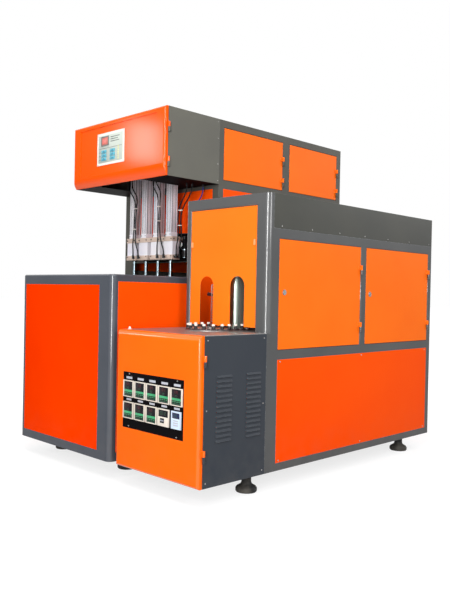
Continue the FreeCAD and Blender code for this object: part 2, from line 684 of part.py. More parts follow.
def base_frame():
    """Welded frame of the base: posts, rails, deck ledge, clamp rails, foot beams."""
    height = (CABINET_BOTTOM, BASE_TOP)
    across = (0.0, BASE_WIDTH)
    along = (0.0, BASE_DEPTH)
    inside_x = shrink(across, FRAME_DEPTH)
    inside_y = shrink(along, FRAME_DEPTH)
    side_openings = [(bay, BASE_SIDE_HEIGHTS) for bay in BASE_SIDE_BAYS]
    rear_opening = (shrink(across, BASE_FRONT_OPENING[0][0]), BASE_SIDE_HEIGHTS)
    frame = rounded_box(across, along, height)
    frame = frame.cut(block(inside_x, inside_y, (height[0] - 1.0, height[1] + 1.0)))
    frame = open_up(frame, BASE_FRONT_FACE, [BASE_FRONT_OPENING])
    frame = open_up(frame, BASE_REAR_FACE, [rear_opening])
    frame = open_up(frame, BASE_LEFT_FACE, side_openings)
    frame = open_up(frame, BASE_RIGHT_FACE, side_openings)
    ledge_z = (DECK_BOTTOM - 2.0 * DECK_LEDGE, DECK_BOTTOM)
    ledge = block(inside_x, inside_y, ledge_z).cut(
        block(shrink(inside_x, DECK_LEDGE), shrink(inside_y, DECK_LEDGE), ledge_z))
    pieces = [frame, ledge]
    for x in (inside_x[0], inside_x[1] - FRAME_DEPTH):
        pieces.append(block((x, x + FRAME_DEPTH), inside_y, BASE_RAIL_HEIGHTS))
    for y in (STATION_Y - CLAMP_HALF_LENGTH, STATION_Y + CLAMP_HALF_LENGTH - FOOT_BEAM):
        pieces.append(block(inside_x, (y, y + FOOT_BEAM), BASE_RAIL_HEIGHTS))
    foot_z = (CABINET_BOTTOM, CABINET_BOTTOM + FOOT_BEAM_HEIGHT)
    for y in BASE_FEET_Y:
        pieces.append(block(inside_x, middle(y, FOOT_BEAM), foot_z))
    return fuse(pieces)


def base_deck():
    """Deck sheet with the mouth that the bottles are taken out through."""
    inside_x = shrink((0.0, BASE_WIDTH), FRAME_DEPTH)
    inside_y = shrink((0.0, BASE_DEPTH), FRAME_DEPTH)
    deck = block(inside_x, inside_y, (DECK_BOTTOM, BASE_TOP))
    mouth_x = (STATION_X - DECK_MOUTH_HALF_WIDTH, STATION_X + DECK_MOUTH_HALF_WIDTH)
    mouth = block(mouth_x, DECK_MOUTH_Y, (DECK_BOTTOM - 1.0, BASE_TOP + 1.0))
    corners = [(x, y) for x in mouth_x for y in DECK_MOUTH_Y]
    return deck.cut(round_posts(mouth, corners, CORNER_RADIUS))


def base_panels():
    """Panels in both sides and the rear of the base."""
    rear = shrink((0.0, BASE_WIDTH), BASE_FRONT_OPENING[0][0])
    panels = [fixed_panel(BASE_REAR_FACE, rear, BASE_SIDE_HEIGHTS)]
    for face in (BASE_LEFT_FACE, BASE_RIGHT_FACE):
        for bay in BASE_SIDE_BAYS:
            panels.append(fixed_panel(face, bay, BASE_SIDE_HEIGHTS))
    return panels


def tower_frame(hinge_halves):
    """Tower posts and rails with the beams that reach forward inside the head."""
    height = (BASE_TOP, HEAD_TOP)
    across = (TOWER_LEFT, TOWER_RIGHT)
    along = (TOWER_FRONT, BASE_DEPTH)
    side = [(bay, z) for bay in TOWER_BAYS
            for z in (TOWER_PANEL_HEIGHTS, HEAD_DOOR_HEIGHTS)]
    rear_x = shrink(across, TOWER_SIDE_MARGIN)
    rear = [(rear_x, TOWER_PANEL_HEIGHTS), (rear_x, HEAD_DOOR_HEIGHTS)]
    front = framed_wall(TOWER_FRONT_FACE, across, height,
                        [(rear_x, TOWER_FRONT_PANEL_HEIGHTS)])
    throat_x = shrink(across, TOWER_THROAT_MARGIN)
    front = front.cut(on_face(TOWER_FRONT_FACE, throat_x,
                              (BASE_TOP - 1.0, TOWER_THROAT_TOP), (-1.0, FRAME_DEPTH + 1.0)))
    inside_y = shrink(along, FRAME_DEPTH)
    inside_x = shrink(across, FRAME_DEPTH)
    roof_z = (HEAD_TOP - SHEET - DECK_LEDGE, HEAD_TOP - SHEET)
    roof_ledge = block(inside_x, inside_y, roof_z).cut(
        block(shrink(inside_x, DECK_LEDGE), shrink(inside_y, DECK_LEDGE), roof_z))
    pieces = [
        front,
        framed_wall(("y", BASE_DEPTH, 1), across, height, rear),
        framed_wall(TOWER_LEFT_FACE, along, height, side),
        framed_wall(TOWER_RIGHT_FACE, along, height, side),
        roof_ledge,
    ] + hinge_halves
    beam_x = shrink(across, HEAD_SKIN)
    beam_front = SHELL_FRONT + HEAD_BEAM_SETBACK
    beam_low = (HEAD_BOTTOM + HEAD_SKIN, HEAD_BOTTOM + HEAD_SKIN + FRAME_DEPTH)
    beam_high = (HEAD_TOP - HEAD_SKIN - FRAME_DEPTH, HEAD_TOP - HEAD_SKIN)
    for x in (beam_x[0], beam_x[1] - FRAME_DEPTH):
        sides = (x, x + FRAME_DEPTH)
        for z in (beam_low, beam_high):
            pieces.append(block(sides, (beam_front, TOWER_FRONT), z))
        pieces.append(block(sides, (beam_front, beam_front + FRAME_DEPTH),
                            (beam_low[0], beam_high[1])))
    pieces.append(block(beam_x, (beam_front, beam_front + FRAME_DEPTH), beam_high))
    return fuse(pieces)


def tower_panels():
    """Fixed panels of the tower, and the sheet that closes its top."""
    across = (TOWER_LEFT, TOWER_RIGHT)
    rear_x = shrink(across, TOWER_SIDE_MARGIN)
    panels = [fixed_panel(TOWER_FRONT_FACE, rear_x, TOWER_FRONT_PANEL_HEIGHTS)]
    for z in (TOWER_PANEL_HEIGHTS, HEAD_DOOR_HEIGHTS):
        panels.append(fixed_panel(BASE_REAR_FACE, rear_x, z))
        for bay in TOWER_BAYS:
            panels.append(fixed_panel(TOWER_LEFT_FACE, bay, z))
    for bay in TOWER_BAYS:
        panels.append(fixed_panel(TOWER_RIGHT_FACE, bay, TOWER_PANEL_HEIGHTS))
    inside = (shrink(across, FRAME_DEPTH), shrink((TOWER_FRONT, BASE_DEPTH), FRAME_DEPTH))
    panels.append(block(*inside, (HEAD_TOP - SHEET, HEAD_TOP)))
    return panels


def head_shell(hinge_halves):
    """Folded sheet over both sides and the top of the overhanging head."""
    across = (TOWER_LEFT, TOWER_RIGHT)
    along = (SHELL_FRONT + DOOR_GAP / 2.0, TOWER_FRONT)
    outer = block(across, along, (HEAD_BOTTOM, HEAD_TOP))
    inner = block(shrink(across, HEAD_SKIN), (along[0] - 1.0, along[1] + 1.0),
                  (HEAD_BOTTOM - 1.0, HEAD_TOP - HEAD_SKIN))
    return fuse([outer.cut(inner)] + hinge_halves)


def head_floor():
    """Sheet under the head, open in front and round the row of stretch cylinders."""
    across = shrink((TOWER_LEFT, TOWER_RIGHT), HEAD_SKIN)
    along = (SHELL_FRONT + DOOR_GAP / 2.0, TOWER_FRONT)
    floor = block(across, along, (HEAD_BOTTOM, HEAD_BOTTOM + HEAD_SKIN))
    reach = STRETCH_SIDE / 2.0 + HEAD_FLOOR_CLEARANCE
    mouth_x = (stations()[0] - reach, stations()[-1] + reach)
    mouth_y = (along[0] - 1.0, STATION_Y + reach)
    return floor.cut(block(mouth_x, mouth_y, (HEAD_BOTTOM - 1.0, HEAD_BOTTOM + HEAD_SKIN + 1.0)))


def roll_middle(depth, length):
    """Middle of an arc that leaves a flat face tangentially, from the face and the end."""
    radius = (length ** 2 + depth ** 2) / (2.0 * depth)
    half = math.asin(length / radius) / 2.0
    return radius * (1.0 - math.cos(half)), length - radius * math.sin(half)


def rolled_block(x, z, front, back, rolls):
    """Solid whose front face rolls back at its bottom, top and sides.

    rolls gives depth and length of the bottom, top and side rolls.
    """
    (bottom_in, bottom_up), (top_in, top_down), (side_in, side_along) = rolls
    bottom_mid, top_mid, side_mid = [roll_middle(*roll) for roll in rolls]
    section = outline(
        V(x[0], back, z[0]), V(x[0], back, z[1]), V(x[0], front + top_in, z[1]),
        (V(x[0], front + top_mid[0], z[1] - top_mid[1]), V(x[0], front, z[1] - top_down)),
        V(x[0], front, z[0] + bottom_up),
        (V(x[0], front + bottom_mid[0], z[0] + bottom_mid[1]),
         V(x[0], front + bottom_in, z[0])),
    )
    plan = outline(
        V(x[0], back, z[0]), V(x[0], front + side_in, z[0]),
        (V(x[0] + side_mid[1], front + side_mid[0], z[0]), V(x[0] + side_along, front, z[0])),
        V(x[1] - side_along, front, z[0]),
        (V(x[1] - side_mid[1], front + side_mid[0], z[0]), V(x[1], front + side_in, z[0])),
        V(x[1], back, z[0]),
    )
    return section.extrude(V(x[1] - x[0], 0, 0)).common(plan.extrude(V(0, 0, z[1] - z[0])))


def moulded_cover(x, z, front, back, rolls, field):
    """Hollow rolled cover with a shallow sunk field, given by its x and z limits."""
    wall = FIELD_DEPTH + PANEL_SKIN
    deepest = max(roll[0] for roll in rolls)
    inside = rolled_block(shrink(x, PANEL_SKIN), shrink(z, PANEL_SKIN),
                          front + wall, back + wall + deepest, rolls)
    sunk = block(field[0], (front - 1.0, front + FIELD_DEPTH), field[1])
    return rolled_block(x, z, front, back, rolls).cut(sunk).cut(inside)


def head_hood(hinge_halves):
    """Hinged orange hood over the front of the head."""
    x = (TOWER_LEFT, TOWER_RIGHT)
    z = (HEAD_BOTTOM, HEAD_TOP)
    low, high = HOOD_FIELD_INSET
    flat = (shrink(x, HOOD_BORDER), (z[0] + low, z[1] - high))
    back = SHELL_FRONT - DOOR_GAP / 2.0
    return fuse([moulded_cover(x, z, HEAD_FRONT, back, HOOD_ROLLS, flat)] + hinge_halves)


def keypad_panel():
    """Control plate on the hood: display window, two key blocks, lamp column."""
    face = HEAD_FRONT + FIELD_DEPTH
    front = face - KEYPAD_THICKNESS
    plate = block(KEYPAD_X, (front, face), KEYPAD_Z)
    raised = (front - KEY_RAISE, front)
    left = KEYPAD_X[0]
    bottom = KEYPAD_Z[0]
    window_x = left + WINDOW_CORNER[0]
    window_z = bottom + WINDOW_CORNER[1]
    pieces = [plate, block((window_x, window_x + WINDOW_SIZE[0]), raised,
                           (window_z, window_z + WINDOW_SIZE[1]))]
    for column in KEY_COLUMNS:
        for row in range(KEY_ROWS):
            low = bottom + KEY_BOTTOM + row * KEY_PITCH
            pieces.append(block((left + column, left + column + KEY_SIZE[0]), raised,
                                (low, low + KEY_SIZE[1])))
    return fuse(pieces)


# ---------------------------------------------------------------- blow station


def stretch_cylinder(x):
    """Square-profile air cylinder with grooved sides and two end caps."""
    low = CROSSHEAD_TOP
    high = low + STRETCH_LENGTH
    half = STRETCH_SIDE / 2.0
    y = STATION_Y
    side = STRETCH_SIDE - 2.0 * STRETCH_INSET
    barrel = block(middle(x, side), middle(y, side), (low + STRETCH_CAP, high - STRETCH_CAP))
    groove = STRETCH_GROOVE[0]
    depth = STRETCH_INSET + STRETCH_GROOVE[1]
    for offset in (-half / 2.0, half / 2.0):
        for sign in (-1, 1):
            edge = half * sign
            cut_y = sorted((y + edge, y + edge - sign * depth))
            cut_x = sorted((x + edge, x + edge - sign * depth))
            barrel = barrel.cut(block(middle(x + offset, groove), cut_y, (low, high)))
            barrel = barrel.cut(block(cut_x, middle(y + offset, groove), (low, high)))
    caps = [block(middle(x, STRETCH_SIDE), middle(y, STRETCH_SIDE), z)
            for z in ((low, low + STRETCH_CAP), (high - STRETCH_CAP, high))]
    bore_top = NOZZLE_BOTTOM + STRETCH_ROD_LENGTH + STRETCH_BORE_SPARE
    bore = rod(STRETCH_ROD_RADIUS + RUNNING_CLEARANCE, V(x, y, low - 1.0), V(x, y, bore_top))
    return fuse([barrel] + caps).cut(bore)


def stretch_rod(x):
    """Long rod that stretches the preform; its tip waits inside the nozzle."""
    tip = NOZZLE_BOTTOM + STRETCH_ROD_RADIUS
    return rod(STRETCH_ROD_RADIUS, V(x, STATION_Y, tip),
               V(x, STATION_Y, tip + STRETCH_ROD_LENGTH))


def sealing_cylinder(x):
    """Compact air cylinder that hangs under the crosshead."""
    low = CROSSHEAD_BOTTOM - SEALING_LENGTH
    body = fuse([
        block(middle(x, SEALING_WIDTH - 2.0 * SEALING_INSET), middle(STATION_Y, SEALING_DEPTH),
              (low + SEALING_CAP, CROSSHEAD_BOTTOM)),
        block(middle(x, SEALING_WIDTH), middle(STATION_Y, SEALING_CAP_DEPTH),
              (low, low + SEALING_CAP)),
    ])
    bore = rod(SEALING_ROD_RADIUS + RUNNING_CLEARANCE, V(x, STATION_Y, low - 1.0),
               V(x, STATION_Y, CROSSHEAD_BOTTOM + 1.0))
    return body.cut(bore)


def sealing_rod(x):
    """Hollow piston rod with the blow nozzle on its end."""
    top = CROSSHEAD_BOTTOM - SEALING_ROD_HEADROOM
    hole = STRETCH_ROD_RADIUS + RUNNING_CLEARANCE
    lip = NOZZLE_RADIUS - NOZZLE_LIP
    return revolved([
        (hole, NOZZLE_BOTTOM), (lip, NOZZLE_BOTTOM), (NOZZLE_RADIUS, NOZZLE_BOTTOM + NOZZLE_TAPER),
        (NOZZLE_RADIUS, NOZZLE_BOTTOM + NOZZLE_LENGTH),
        (SEALING_ROD_RADIUS, NOZZLE_BOTTOM + NOZZLE_LENGTH),
        (SEALING_ROD_RADIUS, top), (hole, top),
    ], x, STATION_Y)


def crosshead():
    """Machined T plate that all the cylinders are bolted to."""
    wide = (STATIONS - 1) * STATION_PITCH + SEALING_WIDTH
    front, rear = middle(STATION_Y, SEALING_CAP_DEPTH)
    height = (CROSSHEAD_BOTTOM, CROSSHEAD_TOP)
    plate = fuse([
        block(middle(STATION_X, wide), (front, rear), height),
        block(middle(STATION_X, CROSSHEAD_NECK), (rear, BRACKET_FRONT), height),
    ])
    for x in stations():
        plate = plate.cut(rod(STRETCH_ROD_RADIUS + 2.0, V(x, STATION_Y, height[0] - 1.0),
                              V(x, STATION_Y, height[1] + 1.0)))
    return plate


def cylinder_bracket():
    """Black plate on the tower front with two gussets under the crosshead."""
    plate = block(middle(STATION_X, BRACKET_WIDTH), (BRACKET_FRONT, TOWER_FRONT), BRACKET_HEIGHTS)
    reach = STATION_Y + SEALING_CAP_DEPTH / 2.0 + DECK_LEDGE
    pieces = [plate]
    for x in (stations()[0] - BRACKET_THICKNESS / 2.0, stations()[-1] - BRACKET_THICKNESS / 2.0):
        web = outline(V(x, BRACKET_FRONT, CROSSHEAD_BOTTOM), V(x, reach, CROSSHEAD_BOTTOM),
                      V(x, BRACKET_FRONT, BRACKET_HEIGHTS[0]))
        pieces.append(web.extrude(V(BRACKET_THICKNESS, 0, 0)))
    return fuse(pieces)


def air_regulator():
    """Filter regulator on the bracket: body, clamp stub and bowl."""
    y = BRACKET_FRONT - DECK_LEDGE - REGULATOR_SIDE / 2.0
    low, high = REGULATOR_HEIGHTS
    body = block(middle(REGULATOR_X, REGULATOR_SIDE), middle(y, REGULATOR_SIDE), (low, high))
    stub = block(middle(REGULATOR_X, REGULATOR_SIDE / 2.0), (y, BRACKET_FRONT),
                 shrink((low, high), DECK_LEDGE))
    rim, rim_height = BOWL_RIM
    bowl = revolved([
        (0.0, low), (BOWL_RADIUS + rim, low), (BOWL_RADIUS + rim, low - rim_height),
        (BOWL_RADIUS, low - rim_height), (BOWL_RADIUS, low - BOWL_LENGTH + rim_height),
        (BOWL_RADIUS - rim_height, low - BOWL_LENGTH), (0.0, low - BOWL_LENGTH),
    ], REGULATOR_X, y)
    last = hose_points(HOSE_ROUTES["air_hoses_right"][-1])[-1]
    port = elbow(V(REGULATOR_X + REGULATOR_SIDE / 2.0, last.y, last.z - ELBOW_RISE), last)
    return fuse([body, stub, bowl, port])


def regulator_knob():
    """Round knob on top of the regulator."""
    y = BRACKET_FRONT - DECK_LEDGE - REGULATOR_SIDE / 2.0
    low = REGULATOR_HEIGHTS[1]
    return revolved([
        (0.0, low), (KNOB_RADIUS - KNOB_TAPER[0], low), (KNOB_RADIUS, low + KNOB_TAPER[1]),
        (KNOB_RADIUS, low + KNOB_HEIGHT - KNOB_EDGE), (KNOB_RADIUS - KNOB_EDGE, low + KNOB_HEIGHT),
        (0.0, low + KNOB_HEIGHT),
    ], REGULATOR_X, y)


def hose_points(route):
    """Points of a hose's route in the machine's frame."""
    return [V(STATION_X + x, STATION_Y + y, z) for x, y, z in route]


def hose(route):
    """Tube along straight runs joined by tangent arcs, and its bend radii."""
    edges, radii = [], []
    here = route[0]
    for before, corner, after in zip(route, route[1:], route[2:]):
        back, ahead = before - corner, after - corner
        trim = HOSE_BEND_SHARE * min(back.Length, ahead.Length)
        start = corner + back.normalize() * trim
        end = corner + ahead.normalize() * trim
        half_turn = (math.pi - back.getAngle(ahead)) / 2.0
        radius = trim / math.tan(half_turn)
        inward = (back + ahead).normalize()
        centre = corner + inward * (radius / math.cos(half_turn))
        edges.append(Part.makeLine(here, start))
        edges.append(Part.Arc(start, centre - inward * radius, end).toShape())
        radii.append(radius)
        here = end
    edges.append(Part.makeLine(here, route[-1]))
    path = Part.Wire(edges)
    ring = Part.Wire(Part.makeCircle(HOSE_RADIUS, route[0], route[1] - route[0]))
    tube = path.makePipeShell([ring], True, False)
    share = tube.Volume / (math.pi * HOSE_RADIUS ** 2 * path.Length)
    print("hose %.0f mm long, bends %s, volume share %.4f"
          % (path.Length, " ".join("%.0f" % r for r in radii), share))
    return tube


def elbow(seat, end):
    """Push-in elbow from a port face to the end of a hose above or below it."""
    corner = V(end.x, end.y, seat.z)
    rise = 1.0 if end.z > seat.z else -1.0
    return fuse([
        rod(ELBOW_RADIUS, seat, corner),
        rod(FITTING_RADIUS, corner - V(0, 0, rise * FITTING_RADIUS), end),
    ])


def hose_fittings():
    """Elbows in the cylinder ports and straight fittings under the head floor."""
    stretch_face = STATION_Y - STRETCH_SIDE / 2.0
    sealing_face = STATION_Y - SEALING_CAP_DEPTH / 2.0
    sealing_side = stations()[-1] + SEALING_WIDTH / 2.0
    fittings = []
    for name in ("air_hoses_left", "air_hoses_middle"):
        for route in HOSE_ROUTES[name]:
            points = hose_points(route)
            top, low = points[0], points[-1]
            fittings.append(elbow(V(top.x, stretch_face, STRETCH_PORT_Z), top))
            fittings.append(elbow(V(low.x, sealing_face, SEALING_PORT_Z), low))
    for route in HOSE_ROUTES["air_hoses_right"][:-1]:
        low = hose_points(route)[-1]
        fittings.append(elbow(V(sealing_side, low.y, SEALING_PORT_Z), low))
    for route in HOSE_ROUTES["air_hoses_right"]:
        top = hose_points(route)[0]
        fittings.append(rod(FITTING_RADIUS, top, V(top.x, top.y, HEAD_BOTTOM)))
    return fittings


# ---------------------------------------------------------------- mould and clamp


def mould_half(side):
    """Half of the four-cavity mould; side -1 is the front half, 1 the rear half."""
    near_face = STATION_Y + side * MOULD_OPENING
    far_face = near_face + side * MOULD_THICKNESS
    half = block(middle(STATION_X, MOULD_WIDTH), sorted((near_face, far_face)),
                 (MOULD_TOP - MOULD_HEIGHT, MOULD_TOP))
    floor = MOULD_TOP - CAVITY_HEIGHT
    shoulder = MOULD_TOP - NECK_LENGTH - SHOULDER_LENGTH
    for x in stations():
        half = half.cut(revolved([
            (0.0, MOULD_TOP + 1.0), (NECK_RADIUS, MOULD_TOP + 1.0),
            (NECK_RADIUS, MOULD_TOP - NECK_LENGTH), (CAVITY_RADIUS, shoulder),
            (CAVITY_RADIUS, floor + CAVITY_BASE_RADIUS),
            (CAVITY_RADIUS - CAVITY_BASE_RADIUS, floor), (0.0, floor),
        ], x, near_face))
    return half


def platen(side):
    """Platen that slides on the tie bars, and the ram that is screwed into it."""
    inner = STATION_Y + side * PLATEN_INNER
    outer = STATION_Y + side * PLATEN_OUTER
    plate = block(middle(STATION_X, PLATEN_WIDTH), sorted((inner, outer)),
                  middle(MOULD_CENTRE_Z, PLATEN_HEIGHT))
    for x, z in tie_bar_places():
        plate = plate.cut(rod(TIE_BAR_RADIUS + RUNNING_CLEARANCE,
                              V(x, min(inner, outer) - 1.0, z), V(x, max(inner, outer) + 1.0, z)))
    ram = rod(RAM_RADIUS, V(STATION_X, outer, MOULD_CENTRE_Z),
              V(STATION_X, outer + side * RAM_LENGTH, MOULD_CENTRE_Z))
    return [plate, ram]


def tie_bar_places():
    """X and Z of the four tie bars."""
    wide, tall = TIE_BAR_SPAN
    return [(x, z) for x in middle(STATION_X, wide) for z in middle(MOULD_CENTRE_Z, tall)]


def tie_bars():
    """Four round bars between the end plates."""
    y = middle(STATION_Y, 2.0 * CLAMP_HALF_LENGTH)
    return [rod(TIE_BAR_RADIUS, V(x, y[0], z), V(x, y[1], z)) for x, z in tie_bar_places()]


def clamp_bed():
    """Welded bed: two long beams and the upright end plates."""
    along = middle(STATION_Y, 2.0 * CLAMP_HALF_LENGTH)
    beam_z = (BASE_RAIL_HEIGHTS[1], CLAMP_BED_TOP)
    pieces = []
    for x in middle(STATION_X, BED_BEAM_SPACING):
        pieces.append(block(middle(x, BED_BEAM_WIDTH), along, beam_z))
    plate_z = (CLAMP_BED_TOP, MOULD_CENTRE_Z + PLATEN_HEIGHT / 2.0)
    for y in ((along[0], along[0] + PLATEN_THICKNESS), (along[1] - PLATEN_THICKNESS, along[1])):
        pieces.append(block(middle(STATION_X, PLATEN_WIDTH), y, plate_z))
    bed = fuse(pieces)
    for x, z in tie_bar_places():
        bed = bed.cut(rod(TIE_BAR_RADIUS, V(x, along[0] - 1.0, z), V(x, along[1] + 1.0, z)))
    return bed


def clamp_cylinder(side):
    """Large air cylinder between an end plate and its platen."""
    back = STATION_Y + side * (CLAMP_HALF_LENGTH - PLATEN_THICKNESS)
    face = STATION_Y + side * (PLATEN_OUTER + CLAMP_FACE_GAP)
    z = MOULD_CENTRE_Z
    head = (middle(STATION_X, CLAMP_CYLINDER_HEAD), middle(z, CLAMP_CYLINDER_HEAD))
    front_head = sorted((face, face + side * CLAMP_HEAD_LENGTH))
    rear_head = sorted((back, back - side * CLAMP_HEAD_LENGTH))
    body = fuse([
        rod(CLAMP_CYLINDER_RADIUS, V(STATION_X, back, z), V(STATION_X, face, z)),
        block(head[0], front_head, head[1]),
        block(head[0], rear_head, head[1]),
    ])
    inner_end = STATION_Y + side * (PLATEN_OUTER + RAM_LENGTH + CLAMP_FACE_GAP)
    bore = rod(RAM_RADIUS + RUNNING_CLEARANCE, V(STATION_X, inner_end, z),
               V(STATION_X, face - side, z))
    return body.cut(bore)


def air_receiver():
    """Upright pressure vessel on a skirt, inside the tower."""
    low, high = RECEIVER_HEIGHTS
    x = (TOWER_LEFT + TOWER_RIGHT) / 2.0
    dome = RECEIVER_CROWN_RADIUS
    return revolved([
        (RECEIVER_SKIRT_RADIUS - SHEET, BASE_TOP), (RECEIVER_SKIRT_RADIUS, BASE_TOP),
        (RECEIVER_SKIRT_RADIUS, low - RECEIVER_DOME / 3.0), (RECEIVER_RADIUS, low),
        (RECEIVER_RADIUS, high - RECEIVER_DOME), (dome, high - RECEIVER_DOME / 3.0),
        (0.0, high), (0.0, low - RECEIVER_DOME / 2.0),
        (RECEIVER_SKIRT_RADIUS - SHEET, low - RECEIVER_DOME / 2.0),
    ], x, RECEIVER_Y)


# ---------------------------------------------------------------- oven cabinet


def front_frame():
    """Beaded frame round the oven's front panel, with large outer corners."""
    x = (OVEN_LEFT, OVEN_RIGHT)
    z = (CONVEYOR_DECK_BOTTOM, OVEN_TOP)
    frame = on_face(OVEN_FRONT_FACE, x, z, (0.0, FRAME_DEPTH))
    opening_z = (z[0] - 1.0, OVEN_TOP - FRONT_FRAME_HEAD)
    frame = frame.cut(on_face(OVEN_FRONT_FACE, FRONT_PANEL_X, opening_z, (-1.0, FRAME_DEPTH + 1.0)))
    frame = round_posts(frame, [(x[0], OVEN_FRONT), (x[1], OVEN_FRONT)], CORNER_RADIUS)

    def on_bead(point):
        inside_x = near(point.x, FRONT_PANEL_X[0]) or near(point.x, FRONT_PANEL_X[1])
        return near(point.y, OVEN_FRONT) and inside_x

    return frame.makeFillet(FRONT_FRAME_BEAD, edges_where(frame, on_bead))


def oven_frame(hinge_halves):
    """Welded frame of the oven cabinet with the front frame on it."""
    height = (CABINET_BOTTOM, COVER_BOTTOM)
    across = (OVEN_LEFT, OVEN_RIGHT)
    along = (OVEN_FRONT, OVEN_BACK)
    lower = (DOOR_BAYS[0][0], DOOR_BAYS[1][1])
    side = [(bay, DOOR_HEIGHTS) for bay in DOOR_BAYS] + [(lower, LOWER_HEIGHTS)]
    rear_x = shrink(across, REAR_MARGIN)
    front_z = (CABINET_BOTTOM, CONVEYOR_DECK_BOTTOM)
    front_opening = (rear_x, (LOWER_HEIGHTS[0], CONVEYOR_DECK_BOTTOM - FRAME_DEPTH))
    front = on_face(OVEN_FRONT_FACE, across, front_z, (0.0, FRAME_DEPTH))
    front = front.cut(on_face(OVEN_FRONT_FACE, *front_opening, (-1.0, FRAME_DEPTH + 1.0)))
    beam_z = (CONVEYOR_DECK_BOTTOM - FRAME_DEPTH, CONVEYOR_DECK_BOTTOM)
    mid_y = shrink((DOOR_BAYS[0][1], DOOR_BAYS[1][0]), MIDDLE_POST_INSET)
    rear_beam = (CONVEYOR_DECK_REAR - REBATE_DEPTH, CONVEYOR_DECK_REAR + 1.0)
    foot_z = (CABINET_BOTTOM, CABINET_BOTTOM + FOOT_BEAM_HEIGHT)
    inside_x = shrink(across, FRAME_DEPTH / 2.0)
    return fuse([
        front,
        front_frame(),
        framed_wall(OVEN_RIGHT_FACE, along, height, side),
        framed_wall(OVEN_LEFT_FACE, along, height, side),
        framed_wall(OVEN_REAR_FACE, across, height,
                    [(rear_x, DOOR_HEIGHTS), (rear_x, LOWER_HEIGHTS)]),
        block(shrink(across, REBATE_DEPTH + 1.0), mid_y, beam_z),
        block(inside_x, rear_beam, beam_z),
        block(shrink(across, REBATE_DEPTH + 1.0), middle(OVEN_FEET_Y[1], FOOT_BEAM), foot_z),
    ] + hinge_halves)


def arch(x):
    """Tool for an arched slot, open at the bottom of the front panel."""
    radius = ARCH_WIDTH / 2.0
    spring = ARCH_TOP - radius
    y = OVEN_FRONT - 1.0
    face = outline(
        V(x - radius, y, FRONT_PANEL_BOTTOM - 1.0), V(x - radius, y, spring),
        (V(x, y, ARCH_TOP), V(x + radius, y, spring)),
        V(x + radius, y, FRONT_PANEL_BOTTOM - 1.0),
    )
    return face.extrude(V(0, FRAME_DEPTH, 0))


def oven_front_panel():
    """Orange front panel with the two arched slots of the conveyor."""
    up = (FRONT_PANEL_BOTTOM, OVEN_TOP - FRONT_FRAME_HEAD)
    panel = pan(OVEN_FRONT_FACE, FRONT_PANEL_X, up, setback=FRONT_PANEL_SETBACK)
    for side in (-1, 1):
        panel = panel.cut(arch(CHAIN_CENTRE_X + side * TRACK_RADIUS))
    return panel


def panel_latches():
    """Two turn latches that hold the front panel, one at each side."""
    wide, tall = LATCH_SIZE
    face = OVEN_FRONT + FRONT_PANEL_SETBACK
    latches = []
    for x in shrink(FRONT_PANEL_X, wide):
        latches.append(block(middle(x, wide), (face - LATCH_PROUD, face), middle(LATCH_Z, tall)))
    return latches


def oven_top_cover():
    """Deep folded lid over the oven."""
    x = (OVEN_LEFT, OVEN_RIGHT)
    y = (OVEN_FRONT + FRAME_DEPTH, OVEN_BACK)
    cover = block(x, y, (COVER_BOTTOM, OVEN_TOP))
    inner = block(shrink(x, PANEL_SKIN), shrink(y, PANEL_SKIN),
                  (COVER_BOTTOM - 1.0, OVEN_TOP - PANEL_SKIN))
    return cover.cut(inner)


def oven_panels():
    """Fixed panels: lower right, all of the left side, and the rear."""
    lower = (DOOR_BAYS[0][0], DOOR_BAYS[1][1])
    rear_x = shrink((OVEN_LEFT, OVEN_RIGHT), REAR_MARGIN)
    panels = [fixed_panel(OVEN_RIGHT_FACE, lower, LOWER_HEIGHTS),
              fixed_panel(OVEN_LEFT_FACE, lower, LOWER_HEIGHTS)]
    for bay in DOOR_BAYS:
        panels.append(fixed_panel(OVEN_LEFT_FACE, bay, DOOR_HEIGHTS))
    for z in (DOOR_HEIGHTS, LOWER_HEIGHTS):
        panels.append(fixed_panel(OVEN_REAR_FACE, rear_x, z))
    return panels


def lock_hole(bay):
    """Tool for the round hole that a door lock passes through."""
    y = bay[0] + LOCK_INSET
    return rod(LOCK_RADIUS + RUNNING_CLEARANCE, V(OVEN_RIGHT - PANEL_DEPTH, y, LOCK_Z),
               V(OVEN_RIGHT + 1.0, y, LOCK_Z))


def door_lock(bay):
    """Quarter-turn lock: head, spindle and cam, with the cam turned to open."""
    y = bay[0] + LOCK_INSET
    cam_x = OVEN_RIGHT - FRAME_DEPTH - LOCK_HEAD
    return fuse([
        rod(LOCK_HEAD_RADIUS, V(OVEN_RIGHT, y, LOCK_Z), V(OVEN_RIGHT + LOCK_HEAD, y, LOCK_Z)),
        rod(LOCK_RADIUS, V(cam_x - CAM_THICKNESS, y, LOCK_Z), V(OVEN_RIGHT, y, LOCK_Z)),
        block((cam_x - CAM_THICKNESS, cam_x), middle(y, CAM_WIDTH), (LOCK_Z, LOCK_Z + CAM_LENGTH)),
    ])


# ---------------------------------------------------------------- control box


def control_box_body():
    """Left side and floor of the control box, folded from one sheet, with a foot beam."""
    y = (BOX_BACK_OF_DOOR, OVEN_FRONT)
    z = (CABINET_BOTTOM, CONVEYOR_DECK_BOTTOM)
    left = block((OVEN_LEFT, OVEN_LEFT + SHEET), y, z)
    floor = block((OVEN_LEFT, OVEN_RIGHT - SHEET), y, (z[0], z[0] + SHEET))
    beam = block((OVEN_LEFT + SHEET, OVEN_RIGHT - SHEET), middle(OVEN_FEET_Y[0], FOOT_BEAM),
                 (z[0] + SHEET, z[0] + FOOT_BEAM_HEIGHT))
    return fuse([left, floor, beam])


